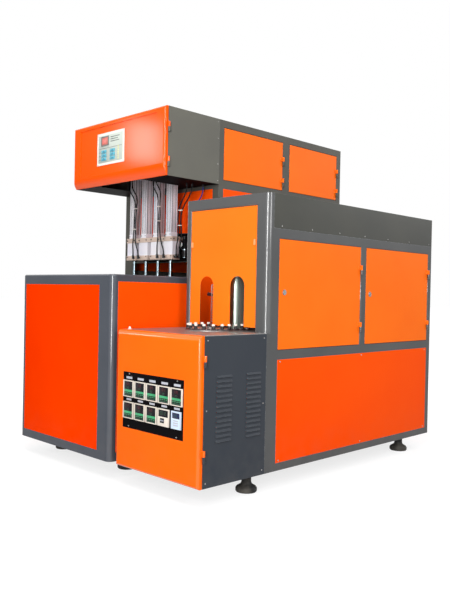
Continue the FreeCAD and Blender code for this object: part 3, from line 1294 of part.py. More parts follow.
def control_box_side(hinge_halves):
    """Right side sheet of the control box with its two columns of louvres."""
    face = OVEN_RIGHT
    sheet = block((face - SHEET, face), (BOX_BACK_OF_DOOR, OVEN_FRONT),
                  (CABINET_BOTTOM, CONVEYOR_DECK_BOTTOM))
    blades = []
    for start in LOUVRE_STARTS:
        for row in range(LOUVRE_ROWS):
            z = LOUVRE_TOP - LOUVRE_SLOPE - row * LOUVRE_PITCH
            y = (start, start + LOUVRE_LENGTH)
            slot = block((face - SHEET - 1.0, face + 1.0), y, (z - 1.0, z + LOUVRE_OPENING))
            sheet = sheet.cut(slot)
            blade = outline(
                V(face - SHEET, start, z + LOUVRE_OPENING), V(face - SHEET, start, z + LOUVRE_SLOPE),
                V(face, start, z + LOUVRE_SLOPE), V(face + LOUVRE_RAISE, start, z),
                V(face + LOUVRE_RAISE - PANEL_SKIN, start, z),
                V(face - PANEL_SKIN, start, z + LOUVRE_OPENING),
            )
            blades.append(blade.extrude(V(0, LOUVRE_LENGTH, 0)))
    return fuse([sheet] + blades + hinge_halves)


def control_box_door(hinge_halves):
    """Hinged moulded cover that carries the instruments."""
    x = (OVEN_LEFT, OVEN_RIGHT)
    z = (CABINET_BOTTOM, BOX_TOP)
    back = BOX_DOOR_DEPTH - DOOR_GAP / 2.0
    cover = moulded_cover(x, z, 0.0, back, BOX_DOOR_ROLLS, (PLATE_X, PLATE_Z))
    for column, row in instrument_places():
        cover = cover.cut(block(middle(column, INSTRUMENT_BODY), (-1.0, BOX_DOOR_DEPTH),
                                middle(row, INSTRUMENT_BODY)))
    return fuse([cover] + hinge_halves)


def instrument_places():
    """Centres of the ten instruments, by row and column."""
    first_x = PLATE_X[0] + INSTRUMENT_CORNER[0]
    first_z = PLATE_Z[1] - INSTRUMENT_CORNER[1]
    return [(first_x + i * INSTRUMENT_PITCH, first_z - row * INSTRUMENT_ROW_PITCH)
            for row in range(INSTRUMENT_ROWS) for i in range(INSTRUMENT_COLUMNS)]


def instrument_plate():
    """Black plate behind the instrument bezels."""
    face = FIELD_DEPTH
    plate = block(PLATE_X, (face - PLATE_THICKNESS, face), PLATE_Z)
    for column, row in instrument_places():
        hole = (middle(column, INSTRUMENT_BODY), (-PLATE_THICKNESS, face + 1.0),
                middle(row, INSTRUMENT_BODY))
        plate = plate.cut(block(*hole))
    return plate


def instrument(column, row):
    """Panel instrument: bezel with a sunk display, and its case behind the plate."""
    face = FIELD_DEPTH - PLATE_THICKNESS
    front = face - BEZEL_DEPTH
    bezel = block(middle(column, INSTRUMENT_WIDTH), (front, face), middle(row, INSTRUMENT_HEIGHT))
    case = block(middle(column, INSTRUMENT_BODY), (face, face + INSTRUMENT_BODY_DEPTH),
                 middle(row, INSTRUMENT_BODY))
    display = block(middle(column, DISPLAY_SIZE[0]), (front - 1.0, front + DISPLAY_RECESS),
                    middle(row + DISPLAY_RISE, DISPLAY_SIZE[1]))
    return fuse([bezel, case]).cut(display)


# ---------------------------------------------------------------- conveyor and lamps


def racetrack(half_width, low, high):
    """Upright solid whose plan is two half circles round the sprocket centres."""
    x = CHAIN_CENTRE_X
    front, rear = CHAIN_FRONT_Y, CHAIN_REAR_Y
    face = outline(
        V(x - half_width, front, low), (V(x, front - half_width, low), V(x + half_width, front, low)),
        V(x + half_width, rear, low), (V(x, rear + half_width, low), V(x - half_width, rear, low)),
    )
    return face.extrude(V(0, 0, high - low))


def conveyor_deck():
    """Sheet over the box and through the oven, with the chain track on it."""
    z = (CONVEYOR_DECK_BOTTOM, BOX_TOP)
    box_part = block((OVEN_LEFT, OVEN_RIGHT), (BOX_BACK_OF_DOOR, OVEN_FRONT), z)
    oven_part = block(FRONT_PANEL_X, (OVEN_FRONT, CONVEYOR_DECK_REAR), z)
    top = (BOX_TOP, LINK_BOTTOM)
    track = racetrack(TRACK_RADIUS + TRACK_HALF_WIDTH, *top).cut(
        racetrack(TRACK_RADIUS - TRACK_HALF_WIDTH, *top))
    deck = fuse([box_part, oven_part, track])
    for y in (CHAIN_FRONT_Y, CHAIN_REAR_Y):
        deck = deck.cut(rod(SHAFT_RADIUS + RUNNING_CLEARANCE, V(CHAIN_CENTRE_X, y, z[0] - 1.0),
                            V(CHAIN_CENTRE_X, y, z[1] + 1.0)))
    return deck


def turned(x, y, angle):
    """Position and heading on the pitch line's bend about a sprocket."""
    across, along = TRACK_RADIUS * math.cos(angle), TRACK_RADIUS * math.sin(angle)
    return V(x + across, y + along, LINK_BOTTOM), 90.0 + math.degrees(angle)


def chain_place(distance):
    """Position and heading on the pitch line, at a distance from its start."""
    bend = math.pi * TRACK_RADIUS
    x, front, rear = CHAIN_CENTRE_X, CHAIN_FRONT_Y, CHAIN_REAR_Y
    if distance < CHAIN_SPAN:
        return V(x + TRACK_RADIUS, front + distance, LINK_BOTTOM), 90.0
    distance -= CHAIN_SPAN
    if distance < bend:
        angle = distance / TRACK_RADIUS
        return turned(x, rear, angle)
    distance -= bend
    if distance < CHAIN_SPAN:
        return V(x - TRACK_RADIUS, rear - distance, LINK_BOTTOM), 270.0
    angle = math.pi + (distance - CHAIN_SPAN) / TRACK_RADIUS
    return turned(x, front, angle)


def chain_link():
    """Carrier link with clipped corners and the spindle that a preform sits on."""
    half = (CHAIN_PITCH - LINK_GAP) / 2.0
    clip = LINK_NECK
    plate = outline(
        V(-half, -LINK_HALF_WIDTH + clip, 0), V(-half + clip, -LINK_HALF_WIDTH, 0),
        V(half - clip, -LINK_HALF_WIDTH, 0), V(half, -LINK_HALF_WIDTH + clip, 0),
        V(half, LINK_HALF_WIDTH - clip, 0), V(half - clip, LINK_HALF_WIDTH, 0),
        V(-half + clip, LINK_HALF_WIDTH, 0), V(-half, LINK_HALF_WIDTH - clip, 0),
    ).extrude(V(0, 0, LINK_THICKNESS))
    turns = [2.0 * math.pi * k / SPINDLE_SIDES for k in range(SPINDLE_SIDES)]
    ring = [V(SPINDLE_RADIUS * math.cos(turn), SPINDLE_RADIUS * math.sin(turn), LINK_THICKNESS)
            for turn in turns]
    spindle = outline(*ring).extrude(V(0, 0, SPINDLE_HEIGHT))
    return fuse([plate, spindle])


def conveyor_chain():
    """The whole closed loop of carrier links."""
    pattern = chain_link()
    links = []
    for i in range(CHAIN_LINKS):
        spot, heading = chain_place((i + 0.5) * CHAIN_PITCH)
        link = pattern.copy()
        link.rotate(V(0, 0, 0), V(0, 0, 1), heading)
        link.translate(spot)
        links.append(link)
    return links


def sprocket(y, shaft_length):
    """Toothed wheel inside the chain's bend, with its hub and shaft."""
    x = CHAIN_CENTRE_X
    tip = TRACK_RADIUS - LINK_HALF_WIDTH - SPROCKET_CLEARANCE
    low = LINK_BOTTOM + 0.5
    wheel = rod(tip, V(x, y, low), V(x, y, low + SPROCKET_THICKNESS))
    for k in range(SPROCKET_TEETH):
        angle = 2.0 * math.pi * k / SPROCKET_TEETH
        spot = V(x + tip * math.cos(angle), y + tip * math.sin(angle), low - 1.0)
        wheel = wheel.cut(rod(TOOTH_NOTCH, spot, spot + V(0, 0, SPROCKET_THICKNESS + 2.0)))
    hub = rod(HUB_RADIUS, V(x, y, BOX_TOP + HUB_GAP), V(x, y, BOX_TOP + HUB_HEIGHT))
    shaft = rod(SHAFT_RADIUS, V(x, y, BOX_TOP - shaft_length), V(x, y, BOX_TOP + 1.0))
    return fuse([wheel, hub, shaft])


def conveyor_gearmotor():
    """Gearbox under the deck with its motor below."""
    x, y = CHAIN_CENTRE_X, CHAIN_FRONT_Y
    low = CONVEYOR_DECK_BOTTOM - GEARBOX[2]
    box = block(middle(x, GEARBOX[0]), middle(y, GEARBOX[1]), (low, CONVEYOR_DECK_BOTTOM))
    motor = rod(MOTOR_RADIUS, V(x, y, low - MOTOR_LENGTH), V(x, y, low))
    bore = rod(SHAFT_RADIUS + RUNNING_CLEARANCE, V(x, y, BOX_TOP - SHAFT_LENGTH - SHAFT_END_GAP),
               V(x, y, CONVEYOR_DECK_BOTTOM + 1.0))
    return fuse([box, motor]).cut(bore)


def lamp_heights():
    """Height of each lamp in a bank."""
    return [LAMP_BOTTOM + i * LAMP_PITCH for i in range(LAMP_ROWS)]


def lamp_reflector(side):
    """Channel reflector on the outside of one run, standing on its end plates."""
    face = CHAIN_CENTRE_X + side * REFLECTOR_FACE
    back = face + side * REFLECTOR_DEPTH
    low = lamp_heights()[0] - LAMP_PITCH / 2.0
    skin = sorted((back - side * PANEL_SKIN, back))
    deep = sorted((face, back))
    pieces = [block(skin, REFLECTOR_Y, (low, REFLECTOR_TOP))]
    for z in ((low, low + PANEL_SKIN), (REFLECTOR_TOP - PANEL_SKIN, REFLECTOR_TOP)):
        pieces.append(block(deep, REFLECTOR_Y, z))
    for y in ((REFLECTOR_Y[0], REFLECTOR_Y[0] + SHEET), (REFLECTOR_Y[1] - SHEET, REFLECTOR_Y[1])):
        pieces.append(block(deep, y, (BOX_TOP, REFLECTOR_TOP)))
    channel = fuse(pieces)
    x = back - side * LAMP_SETBACK
    for z in lamp_heights():
        channel = channel.cut(rod(LAMP_RADIUS + LAMP_CLEARANCE, V(x, REFLECTOR_Y[0] - 1.0, z),
                                  V(x, REFLECTOR_Y[1] + 1.0, z)))
    return channel


def lamp_core():
    """Polished sheet with round ends between the two runs."""
    def loop(half):
        x = CHAIN_CENTRE_X
        front, rear = CORE_Y
        return outline(
            V(x - half, front, BOX_TOP), (V(x, front - half, BOX_TOP), V(x + half, front, BOX_TOP)),
            V(x + half, rear, BOX_TOP), (V(x, rear + half, BOX_TOP), V(x - half, rear, BOX_TOP)),
        ).extrude(V(0, 0, REFLECTOR_TOP - BOX_TOP))

    return loop(CORE_HALF_WIDTH).cut(loop(CORE_HALF_WIDTH - PANEL_SKIN))


def heating_lamps():
    """Quartz tubes of both banks, through the end plates of their reflectors."""
    lamps = []
    along = (REFLECTOR_Y[0] - LAMP_OVERHANG, REFLECTOR_Y[1] + LAMP_OVERHANG)
    for side in (-1, 1):
        x = CHAIN_CENTRE_X + side * (REFLECTOR_FACE + REFLECTOR_DEPTH - LAMP_SETBACK)
        for z in lamp_heights():
            lamps.append(rod(LAMP_RADIUS, V(x, along[0], z), V(x, along[1], z)))
    return lamps


# ---------------------------------------------------------------- feet


def foot_places():
    """X and Y of the eight levelling feet."""
    oven_x = (OVEN_LEFT + OVEN_FOOT_INSET, OVEN_RIGHT - OVEN_FOOT_INSET)
    base = [(x, y) for x in BASE_FEET_X for y in BASE_FEET_Y]
    return base + [(x, y) for x in oven_x for y in OVEN_FEET_Y]


def foot_pad(x, y):
    """Bell-shaped rubber foot."""
    return revolved([
        (0.0, 0.0), (FOOT_RADIUS - FOOT_EDGE, 0.0), (FOOT_RADIUS, FOOT_SOLE),
        (FOOT_RADIUS, FOOT_RIM - FOOT_EDGE), (FOOT_RADIUS - FOOT_SOLE, FOOT_RIM + FOOT_EDGE),
        (FOOT_NECK_RADIUS + FOOT_FLARE, FOOT_RIM + FOOT_BELL[0]),
        (FOOT_NECK_RADIUS, FOOT_RIM + FOOT_BELL[1]), (FOOT_NECK_RADIUS, FOOT_HEIGHT),
        (0.0, FOOT_HEIGHT),
    ], x, y)


def foot_stud(x, y):
    """Stud between a foot and its cabinet, with its lock nut."""
    low = CABINET_BOTTOM - NUT_HEIGHT
    nut = [V(x + NUT_RADIUS * math.cos(k * math.pi / 3.0),
             y + NUT_RADIUS * math.sin(k * math.pi / 3.0), low) for k in range(6)]
    return fuse([
        rod(STUD_RADIUS, V(x, y, FOOT_HEIGHT), V(x, y, CABINET_BOTTOM)),
        outline(*nut).extrude(V(0, 0, NUT_HEIGHT)),
    ])


# ---------------------------------------------------------------- assembly


def build():
    """Every piece of the machine by name."""
    hood_door, hood_frame = hinge_set(TOWER_RIGHT, SHELL_FRONT, HOOD_HINGES_Z)
    box_door, box_frame = hinge_set(OVEN_RIGHT, BOX_DOOR_DEPTH, BOX_DOOR_HINGES_Z)
    head_doors = [hung_door(bay, HEAD_DOOR_HEIGHTS, TOWER_RIGHT_FACE, HEAD_DOOR_HINGES_Z)
                  for bay in TOWER_BAYS]
    oven_doors = [hung_door(bay, DOOR_HEIGHTS, OVEN_RIGHT_FACE, OVEN_DOOR_HINGES_Z)
                  for bay in DOOR_BAYS]
    parts = {
        "base_frame": [base_frame()],
        "base_deck": [base_deck()],
        "base_front_panel": [fixed_panel(BASE_FRONT_FACE, *BASE_FRONT_OPENING)],
        "base_panels": base_panels(),
        "tower_frame": [tower_frame(head_doors[0][1] + head_doors[1][1])],
        "tower_panels": tower_panels(),
        "head_shell": [head_shell(hood_frame)],
        "head_floor": [head_floor()],
        "head_hood": [head_hood(hood_door)],
        "keypad_panel": [keypad_panel()],
        "head_door_front": [head_doors[0][0]],
        "head_door_rear": [head_doors[1][0]],
        "crosshead": [crosshead()],
        "cylinder_bracket": [cylinder_bracket()],
        "stretch_cylinders": [stretch_cylinder(x) for x in stations()],
        "sealing_cylinders": [sealing_cylinder(x) for x in stations()],
        "air_regulator": [air_regulator()],
        "regulator_knob": [regulator_knob()],
        "hose_fittings": hose_fittings(),
        "clamp_bed": [clamp_bed()],
        "tie_bars": tie_bars(),
        "platen_front": platen(-1),
        "platen_rear": platen(1),
        "mould_front": [mould_half(-1)],
        "mould_rear": [mould_half(1)],
        "clamp_cylinders": [clamp_cylinder(-1), clamp_cylinder(1)],
        "air_receiver": [air_receiver()],
        "oven_frame": [oven_frame(oven_doors[0][1] + oven_doors[1][1])],
        "oven_front_panel": [oven_front_panel()],
        "panel_latches": panel_latches(),
        "oven_top_cover": [oven_top_cover()],
        "oven_panels": oven_panels(),
        "oven_door_front": [oven_doors[0][0].cut(lock_hole(DOOR_BAYS[0]))],
        "oven_door_rear": [oven_doors[1][0].cut(lock_hole(DOOR_BAYS[1]))],
        "oven_lock_front": [door_lock(DOOR_BAYS[0])],
        "oven_lock_rear": [door_lock(DOOR_BAYS[1])],
        "control_box_body": [control_box_body(), control_box_side(box_frame)],
        "control_box_door": [control_box_door(box_door)],
        "instrument_plate": [instrument_plate()],
        "panel_instruments": [instrument(*spot) for spot in instrument_places()],
        "conveyor_deck": [conveyor_deck()],
        "conveyor_chain": conveyor_chain(),
        "drive_sprocket": [sprocket(CHAIN_FRONT_Y, SHAFT_LENGTH)],
        "idler_sprocket": [sprocket(CHAIN_REAR_Y, IDLER_SHAFT_LENGTH)],
        "conveyor_gearmotor": [conveyor_gearmotor()],
        "lamp_reflectors": [lamp_reflector(-1), lamp_reflector(1), lamp_core()],
        "heating_lamps": heating_lamps(),
        "foot_pads": [foot_pad(*spot) for spot in foot_places()],
        "foot_studs": [foot_stud(*spot) for spot in foot_places()],
    }
    for number, x in enumerate(stations(), 1):
        parts["stretch_rod_%d" % number] = [stretch_rod(x)]
        parts["sealing_rod_%d" % number] = [sealing_rod(x)]
    for name, routes in HOSE_ROUTES.items():
        parts[name] = [hose(hose_points(route)) for route in routes]
    return parts


def main():
    """Write one STEP file per named piece."""
    os.makedirs("parts", exist_ok=True)
    for name, solids in build().items():
        placed = [place(solid) for solid in solids]
        shape = placed[0] if len(placed) == 1 else Part.makeCompound(placed)
        shape.exportStep("parts/%s.step" % name)


main()
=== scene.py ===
import logging
import math
from collections.abc import Sequence
from dataclasses import dataclass, field
from enum import Enum
from itertools import product

import bmesh
import bpy
from mathutils import Matrix, Vector


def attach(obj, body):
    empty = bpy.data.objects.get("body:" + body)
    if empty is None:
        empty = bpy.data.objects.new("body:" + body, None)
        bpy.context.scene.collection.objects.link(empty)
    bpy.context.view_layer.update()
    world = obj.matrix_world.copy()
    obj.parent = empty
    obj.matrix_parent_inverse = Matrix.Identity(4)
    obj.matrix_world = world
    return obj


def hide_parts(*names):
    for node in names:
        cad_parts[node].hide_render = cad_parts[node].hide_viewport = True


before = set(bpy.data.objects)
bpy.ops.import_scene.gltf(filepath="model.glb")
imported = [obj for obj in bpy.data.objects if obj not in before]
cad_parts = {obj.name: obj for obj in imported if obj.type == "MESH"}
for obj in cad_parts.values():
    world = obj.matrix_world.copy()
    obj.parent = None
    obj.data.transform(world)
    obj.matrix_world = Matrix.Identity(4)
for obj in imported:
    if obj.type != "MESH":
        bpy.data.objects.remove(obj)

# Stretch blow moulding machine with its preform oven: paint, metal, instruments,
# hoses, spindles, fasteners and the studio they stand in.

log = logging.getLogger("machine")

Colour = tuple[float, float, float, float]   # linear
Tint = tuple[int, int, int]                  # display red, green and blue, 0 to 255
Spot = tuple[float, float, float]
Span = tuple[float, float]
Rectangle = tuple[Span, Span]
Box = tuple[Span, Span, Span]

# The machine is drawn in millimetres from the base cabinet's front left corner on the
# floor; the frame's origin lies under the middle of the whole machine.
MIDDLE_X = 857.25
MIDDLE_Y = 1086.5


def at(x: float, y: float, z: float) -> Vector:
    """Turn a place in the machine's millimetres into metres from its origin.

    Args:
        x: Millimetres right of the base cabinet's left side.
        y: Millimetres behind the cabinets' front faces.
        z: Millimetres above the floor.

    Returns:
        The same place in metres.
    """
    return Vector(((x - MIDDLE_X) / 1000.0, (y - MIDDLE_Y) / 1000.0, z / 1000.0))


def mm(value: float) -> float:
    """Millimetres to metres."""
    return value / 1000.0


def paint(red: int, green: int, blue: int) -> Colour:
    """Turn display colour values into the linear colour that a shader takes.

    Args:
        red: Red from 0 to 255.
        green: Green from 0 to 255.
        blue: Blue from 0 to 255.

    Returns:
        Linear red, green, blue and an alpha of 1.
    """
    def linear(value: int) -> float:
        """Turn one channel linear, on the standard display curve."""
        share = value / 255.0
        return share / 12.92 if share <= 0.04045 else ((share + 0.055) / 1.055) ** 2.4

    return linear(red), linear(green), linear(blue), 1.0


class Facing(Enum):
    """Which way the front of a small piece looks."""

    FRONT = "front"
    RIGHT = "right"
    LEFT = "left"
    REAR = "rear"
    UP = "up"


TURNS: dict[Facing, Matrix] = {
    Facing.UP: Matrix.Identity(4),
    Facing.FRONT: Matrix.Rotation(math.pi / 2, 4, "X"),
    Facing.REAR: Matrix.Rotation(-math.pi / 2, 4, "X"),
    Facing.RIGHT: Matrix.Rotation(math.pi / 2, 4, "Y"),
    Facing.LEFT: Matrix.Rotation(-math.pi / 2, 4, "Y"),
}


def new_object(name: str, data: bpy.types.ID) -> bpy.types.Object:
    """Put an object in the scene.

    Args:
        name: The object's name.
        data: Its mesh, curve, light or camera.

    Returns:
        The new object.
    """
    made = bpy.data.objects.new(name, data)
    bpy.context.scene.collection.objects.link(made)
    return made


# ---------------------------------------------------------------- shader groups


class Tree:
    """A node tree with short ways to add nodes and join them."""

    def __init__(self, tree: bpy.types.NodeTree) -> None:
        """Wrap a tree.

        Args:
            tree: The node tree that gets the nodes.
        """
        self.tree = tree

    def add(self, kind: str, **settings: object) -> bpy.types.Node:
        """Add a node.

        Args:
            kind: Node type without its ShaderNode prefix.
            **settings: Attributes of the node.

        Returns:
            The new node.
        """
        node = self.tree.nodes.new("ShaderNode" + kind)
        for key, value in settings.items():
            setattr(node, key, value)
        return node

    def feed(self, node: bpy.types.Node, **values: object) -> bpy.types.Node:
        """Set or link a node's inputs, by name with _ for a space, or as i and a number.

        Args:
            node: The node whose inputs are fed.
            **values: A number, colour or output socket for each input.

        Returns:
            The same node.
        """
        for key, value in values.items():
            numbered = key[0] == "i" and key[1:].isdigit()
            socket = node.inputs[int(key[1:])] if numbered else node.inputs[key.replace("_", " ")]
            if isinstance(value, bpy.types.NodeSocket):
                self.tree.links.new(value, socket)
            else:
                socket.default_value = value
        return node

    def maths(self, operation: str, first: object, second: object = 0.0,
              clamp: bool = False) -> bpy.types.NodeSocket:
        """Add a maths node.

        Args:
            operation: Blender's name of the operation.
            first: Number or socket.
            second: Number or socket.
            clamp: Whether the result stays between 0 and 1.

        Returns:
            The result's socket.
        """
        node = self.add("Math", operation=operation, use_clamp=clamp)
        return self.feed(node, i0=first, i1=second).outputs[0]

    def blend(self, share: object, first: object, second: object) -> bpy.types.NodeSocket:
        """Mix two colours.

        Args:
            share: Number or socket, 0 for the first colour.
            first: Colour or socket.
            second: Colour or socket.

        Returns:
            The mixed colour's socket.
        """
        node = self.add("Mix", data_type="RGBA")
        return self.feed(node, i0=share, i6=first, i7=second).outputs[2]

    def noise(self, place: object, scale: object, detail: float = 3.0) -> bpy.types.NodeSocket:
        """Add a noise texture.

        Args:
            place: Socket of the coordinates.
            scale: Noise scale, as a number or socket.
            detail: Noise detail.

        Returns:
            The noise value's socket.
        """
        node = self.add("TexNoise")
        return self.feed(node, Vector=place, Scale=scale, Detail=detail).outputs["Fac"]

    def spread(self, value: object, low: float, high: float,
               to_low: float = 0.0, to_high: float = 1.0) -> bpy.types.NodeSocket:
        """Map one range of values to another, held at its ends.

        Args:
            value: Socket of the value.
            low: Start of the source range.
            high: End of the source range.
            to_low: Result at low.
            to_high: Result at high.

        Returns:
            The mapped value's socket.
        """
        node = self.add("MapRange")
        self.feed(node, Value=value, From_Min=low, From_Max=high, To_Min=to_low, To_Max=to_high)
        return node.outputs[0]


def new_group(name: str, inputs: dict[str, float],
              outputs: dict[str, str]) -> tuple[Tree, bpy.types.Node, bpy.types.Node]:
    """Start a shader group.

    Args:
        name: The group's name.
        inputs: Default of each number that the group takes.
        outputs: Socket type of each result, by name.

    Returns:
        The tree, its input node and its output node.
    """
    group = bpy.data.node_groups.new(name, "ShaderNodeTree")
    for key, value in inputs.items():
        socket = group.interface.new_socket(name=key, in_out="INPUT",
                                            socket_type="NodeSocketFloat")
        socket.default_value = value
    for key, kind in outputs.items():
        group.interface.new_socket(name=key, in_out="OUTPUT", socket_type="NodeSocket" + kind)
    tree = Tree(group)
    return tree, group.nodes.new("NodeGroupInput"), group.nodes.new("NodeGroupOutput")


def new_material(name: str) -> tuple[bpy.types.Material, Tree, bpy.types.Node]:
    """Start a node material.

    Args:
        name: The material's name.

    Returns:
        The material, its tree and its shader node.
    """
    material = bpy.data.materials.new(name)
    material.use_nodes = True
    return material, Tree(material.node_tree), material.node_tree.nodes["Principled BSDF"]


class Groups:
    """The shader groups that several finishes share.

    Each span of a mask gives the values between which it goes from nothing to full, and
    each noise is given as its scale and its detail.
    """

    POLISH_LEAN: Span = (0.985, 0.9)
    EDGE_SAMPLES: int = 4
    EDGE_LEAN: Span = (0.995, 0.85)
    CHIPS: Span = (55.0, 5.0)
    CHIPPED: Span = (0.36, 0.62)
    CLOUDY: Span = (0.3, 0.7)
    FINE: Span = (0.35, 0.65)
    SCRATCHED: Span = (0.3, 0.7)
    UPWARD: Span = (0.7, 1.0)
    UPWARD_DUST: Span = (0.0, 0.6)
    PATCHES: Span = (14.0, 6.0)
    PATCHY: Span = (0.35, 0.75)

    def __init__(self) -> None:
        """Build each group once."""
        self.edges = self._edges()
        self.grain = self._grain()
        self.brushed = self._brushed()
        self.dust = self._dust()
        self.rounds = self._rounds()

    def _rounds(self) -> bpy.types.NodeTree:
        """Mask of the rounded corners, which handling has polished.

        Returns:
            The group.
        """
        tree, _, result = new_group("polished_rounds", {}, {"Mask": "Float"})
        facing = tree.feed(tree.add("SeparateXYZ"),
                           Vector=tree.add("NewGeometry").outputs["Normal"])
        along = [tree.maths("ABSOLUTE", facing.outputs[axis]) for axis in "XYZ"]
        flat = tree.maths("MAXIMUM", tree.maths("MAXIMUM", along[0], along[1]), along[2])
        tree.feed(result, Mask=tree.spread(flat, *self.POLISH_LEAN))
        return tree.tree

    def _edges(self) -> bpy.types.NodeTree:
        """Rounded edge normals and a broken mask along the edges for the edge colour: wear, and on
        the grey cabinets a painted highlight too.

        Returns:
            The group.
        """
        tree, given, result = new_group("edge_wear_and_highlight", {"Radius": 0.0015, "Amount": 0.5},
                                        {"Mask": "Float", "Normal": "Vector"})
        place = tree.add("TexCoord").outputs["Object"]
        bevel = tree.feed(tree.add("Bevel", samples=self.EDGE_SAMPLES),
                          Radius=given.outputs["Radius"])
        plain = tree.add("NewGeometry").outputs["Normal"]
        same = tree.add("VectorMath", operation="DOT_PRODUCT")
        tree.feed(same, i0=bevel.outputs[0], i1=plain)
        edge = tree.spread(same.outputs["Value"], *self.EDGE_LEAN)
        broken = tree.spread(tree.noise(place, *self.CHIPS), *self.CHIPPED)
        mask = tree.maths("MULTIPLY", tree.maths("MULTIPLY", edge, broken),
                          given.outputs["Amount"], True)
        tree.feed(result, Mask=mask, Normal=bevel.outputs[0])
        return tree.tree

    def _grain(self) -> bpy.types.NodeTree:
        """Even fine texture of sprayed or moulded skins, and slow cloudiness.

        Returns:
            The group.
        """
        tree, given, result = new_group("skin_grain", {"Scale": 700.0, "Cloud Scale": 2.5},
                                        {"Height": "Float", "Cloud": "Float", "Fine": "Float"})
        place = tree.add("TexCoord").outputs["Object"]
        fine = tree.noise(place, given.outputs["Scale"], 2.0)
        cloud = tree.noise(place, given.outputs["Cloud Scale"], 4.0)
        tree.feed(result, Height=fine, Cloud=tree.spread(cloud, *self.CLOUDY),
                  Fine=tree.spread(fine, *self.FINE))
        return tree.tree

    def _brushed(self) -> bpy.types.NodeTree:
        """Long fine scratches along one axis.

        Returns:
            The group.
        """
        tree, given, result = new_group("brushed_lines",
                                        {"Along X": 8.0, "Along Y": 900.0, "Along Z": 900.0},
                                        {"Height": "Float", "Mask": "Float"})
        place = tree.add("TexCoord").outputs["Object"]
        stretch = tree.add("CombineXYZ")
        tree.feed(stretch, X=given.outputs["Along X"], Y=given.outputs["Along Y"],
                  Z=given.outputs["Along Z"])
        scaled = tree.add("VectorMath", operation="MULTIPLY")
        tree.feed(scaled, i0=place, i1=stretch.outputs[0])
        lines = tree.noise(scaled.outputs[0], 1.0)
        tree.feed(result, Height=lines, Mask=tree.spread(lines, *self.SCRATCHED))
        return tree.tree

    def _dust(self) -> bpy.types.NodeTree:
        """Soft dust that gathers low down and on faces that look up.

        Returns:
            The group.
        """
        tree, given, result = new_group("settled_dust", {"Reach": 0.35, "Amount": 0.4},
                                        {"Mask": "Float"})
        place = tree.add("TexCoord").outputs["Object"]
        height = tree.feed(tree.add("SeparateXYZ"), Vector=place).outputs["Z"]
        risen = tree.maths("DIVIDE", height, given.outputs["Reach"])
        low = tree.maths("SUBTRACT", 1.0, risen, True)
        facing = tree.feed(tree.add("SeparateXYZ"),
                           Vector=tree.add("NewGeometry").outputs["Normal"])
        flat = tree.spread(facing.outputs["Z"], *self.UPWARD, *self.UPWARD_DUST)
        patchy = tree.spread(tree.noise(place, *self.PATCHES), *self.PATCHY)
        both = tree.maths("MULTIPLY", tree.maths("MAXIMUM", low, flat), patchy)
        tree.feed(result, Mask=tree.maths("MULTIPLY", both, given.outputs["Amount"], True))
        return tree.tree


# ---------------------------------------------------------------- finishes


class Grain(Enum):
    """Direction in which a metal is brushed, as noise stretch on each axis."""

    NONE = (0.0, 0.0, 0.0)
    X = (6.0, 700.0, 700.0)
    Y = (700.0, 6.0, 700.0)
    Z = (700.0, 700.0, 6.0)


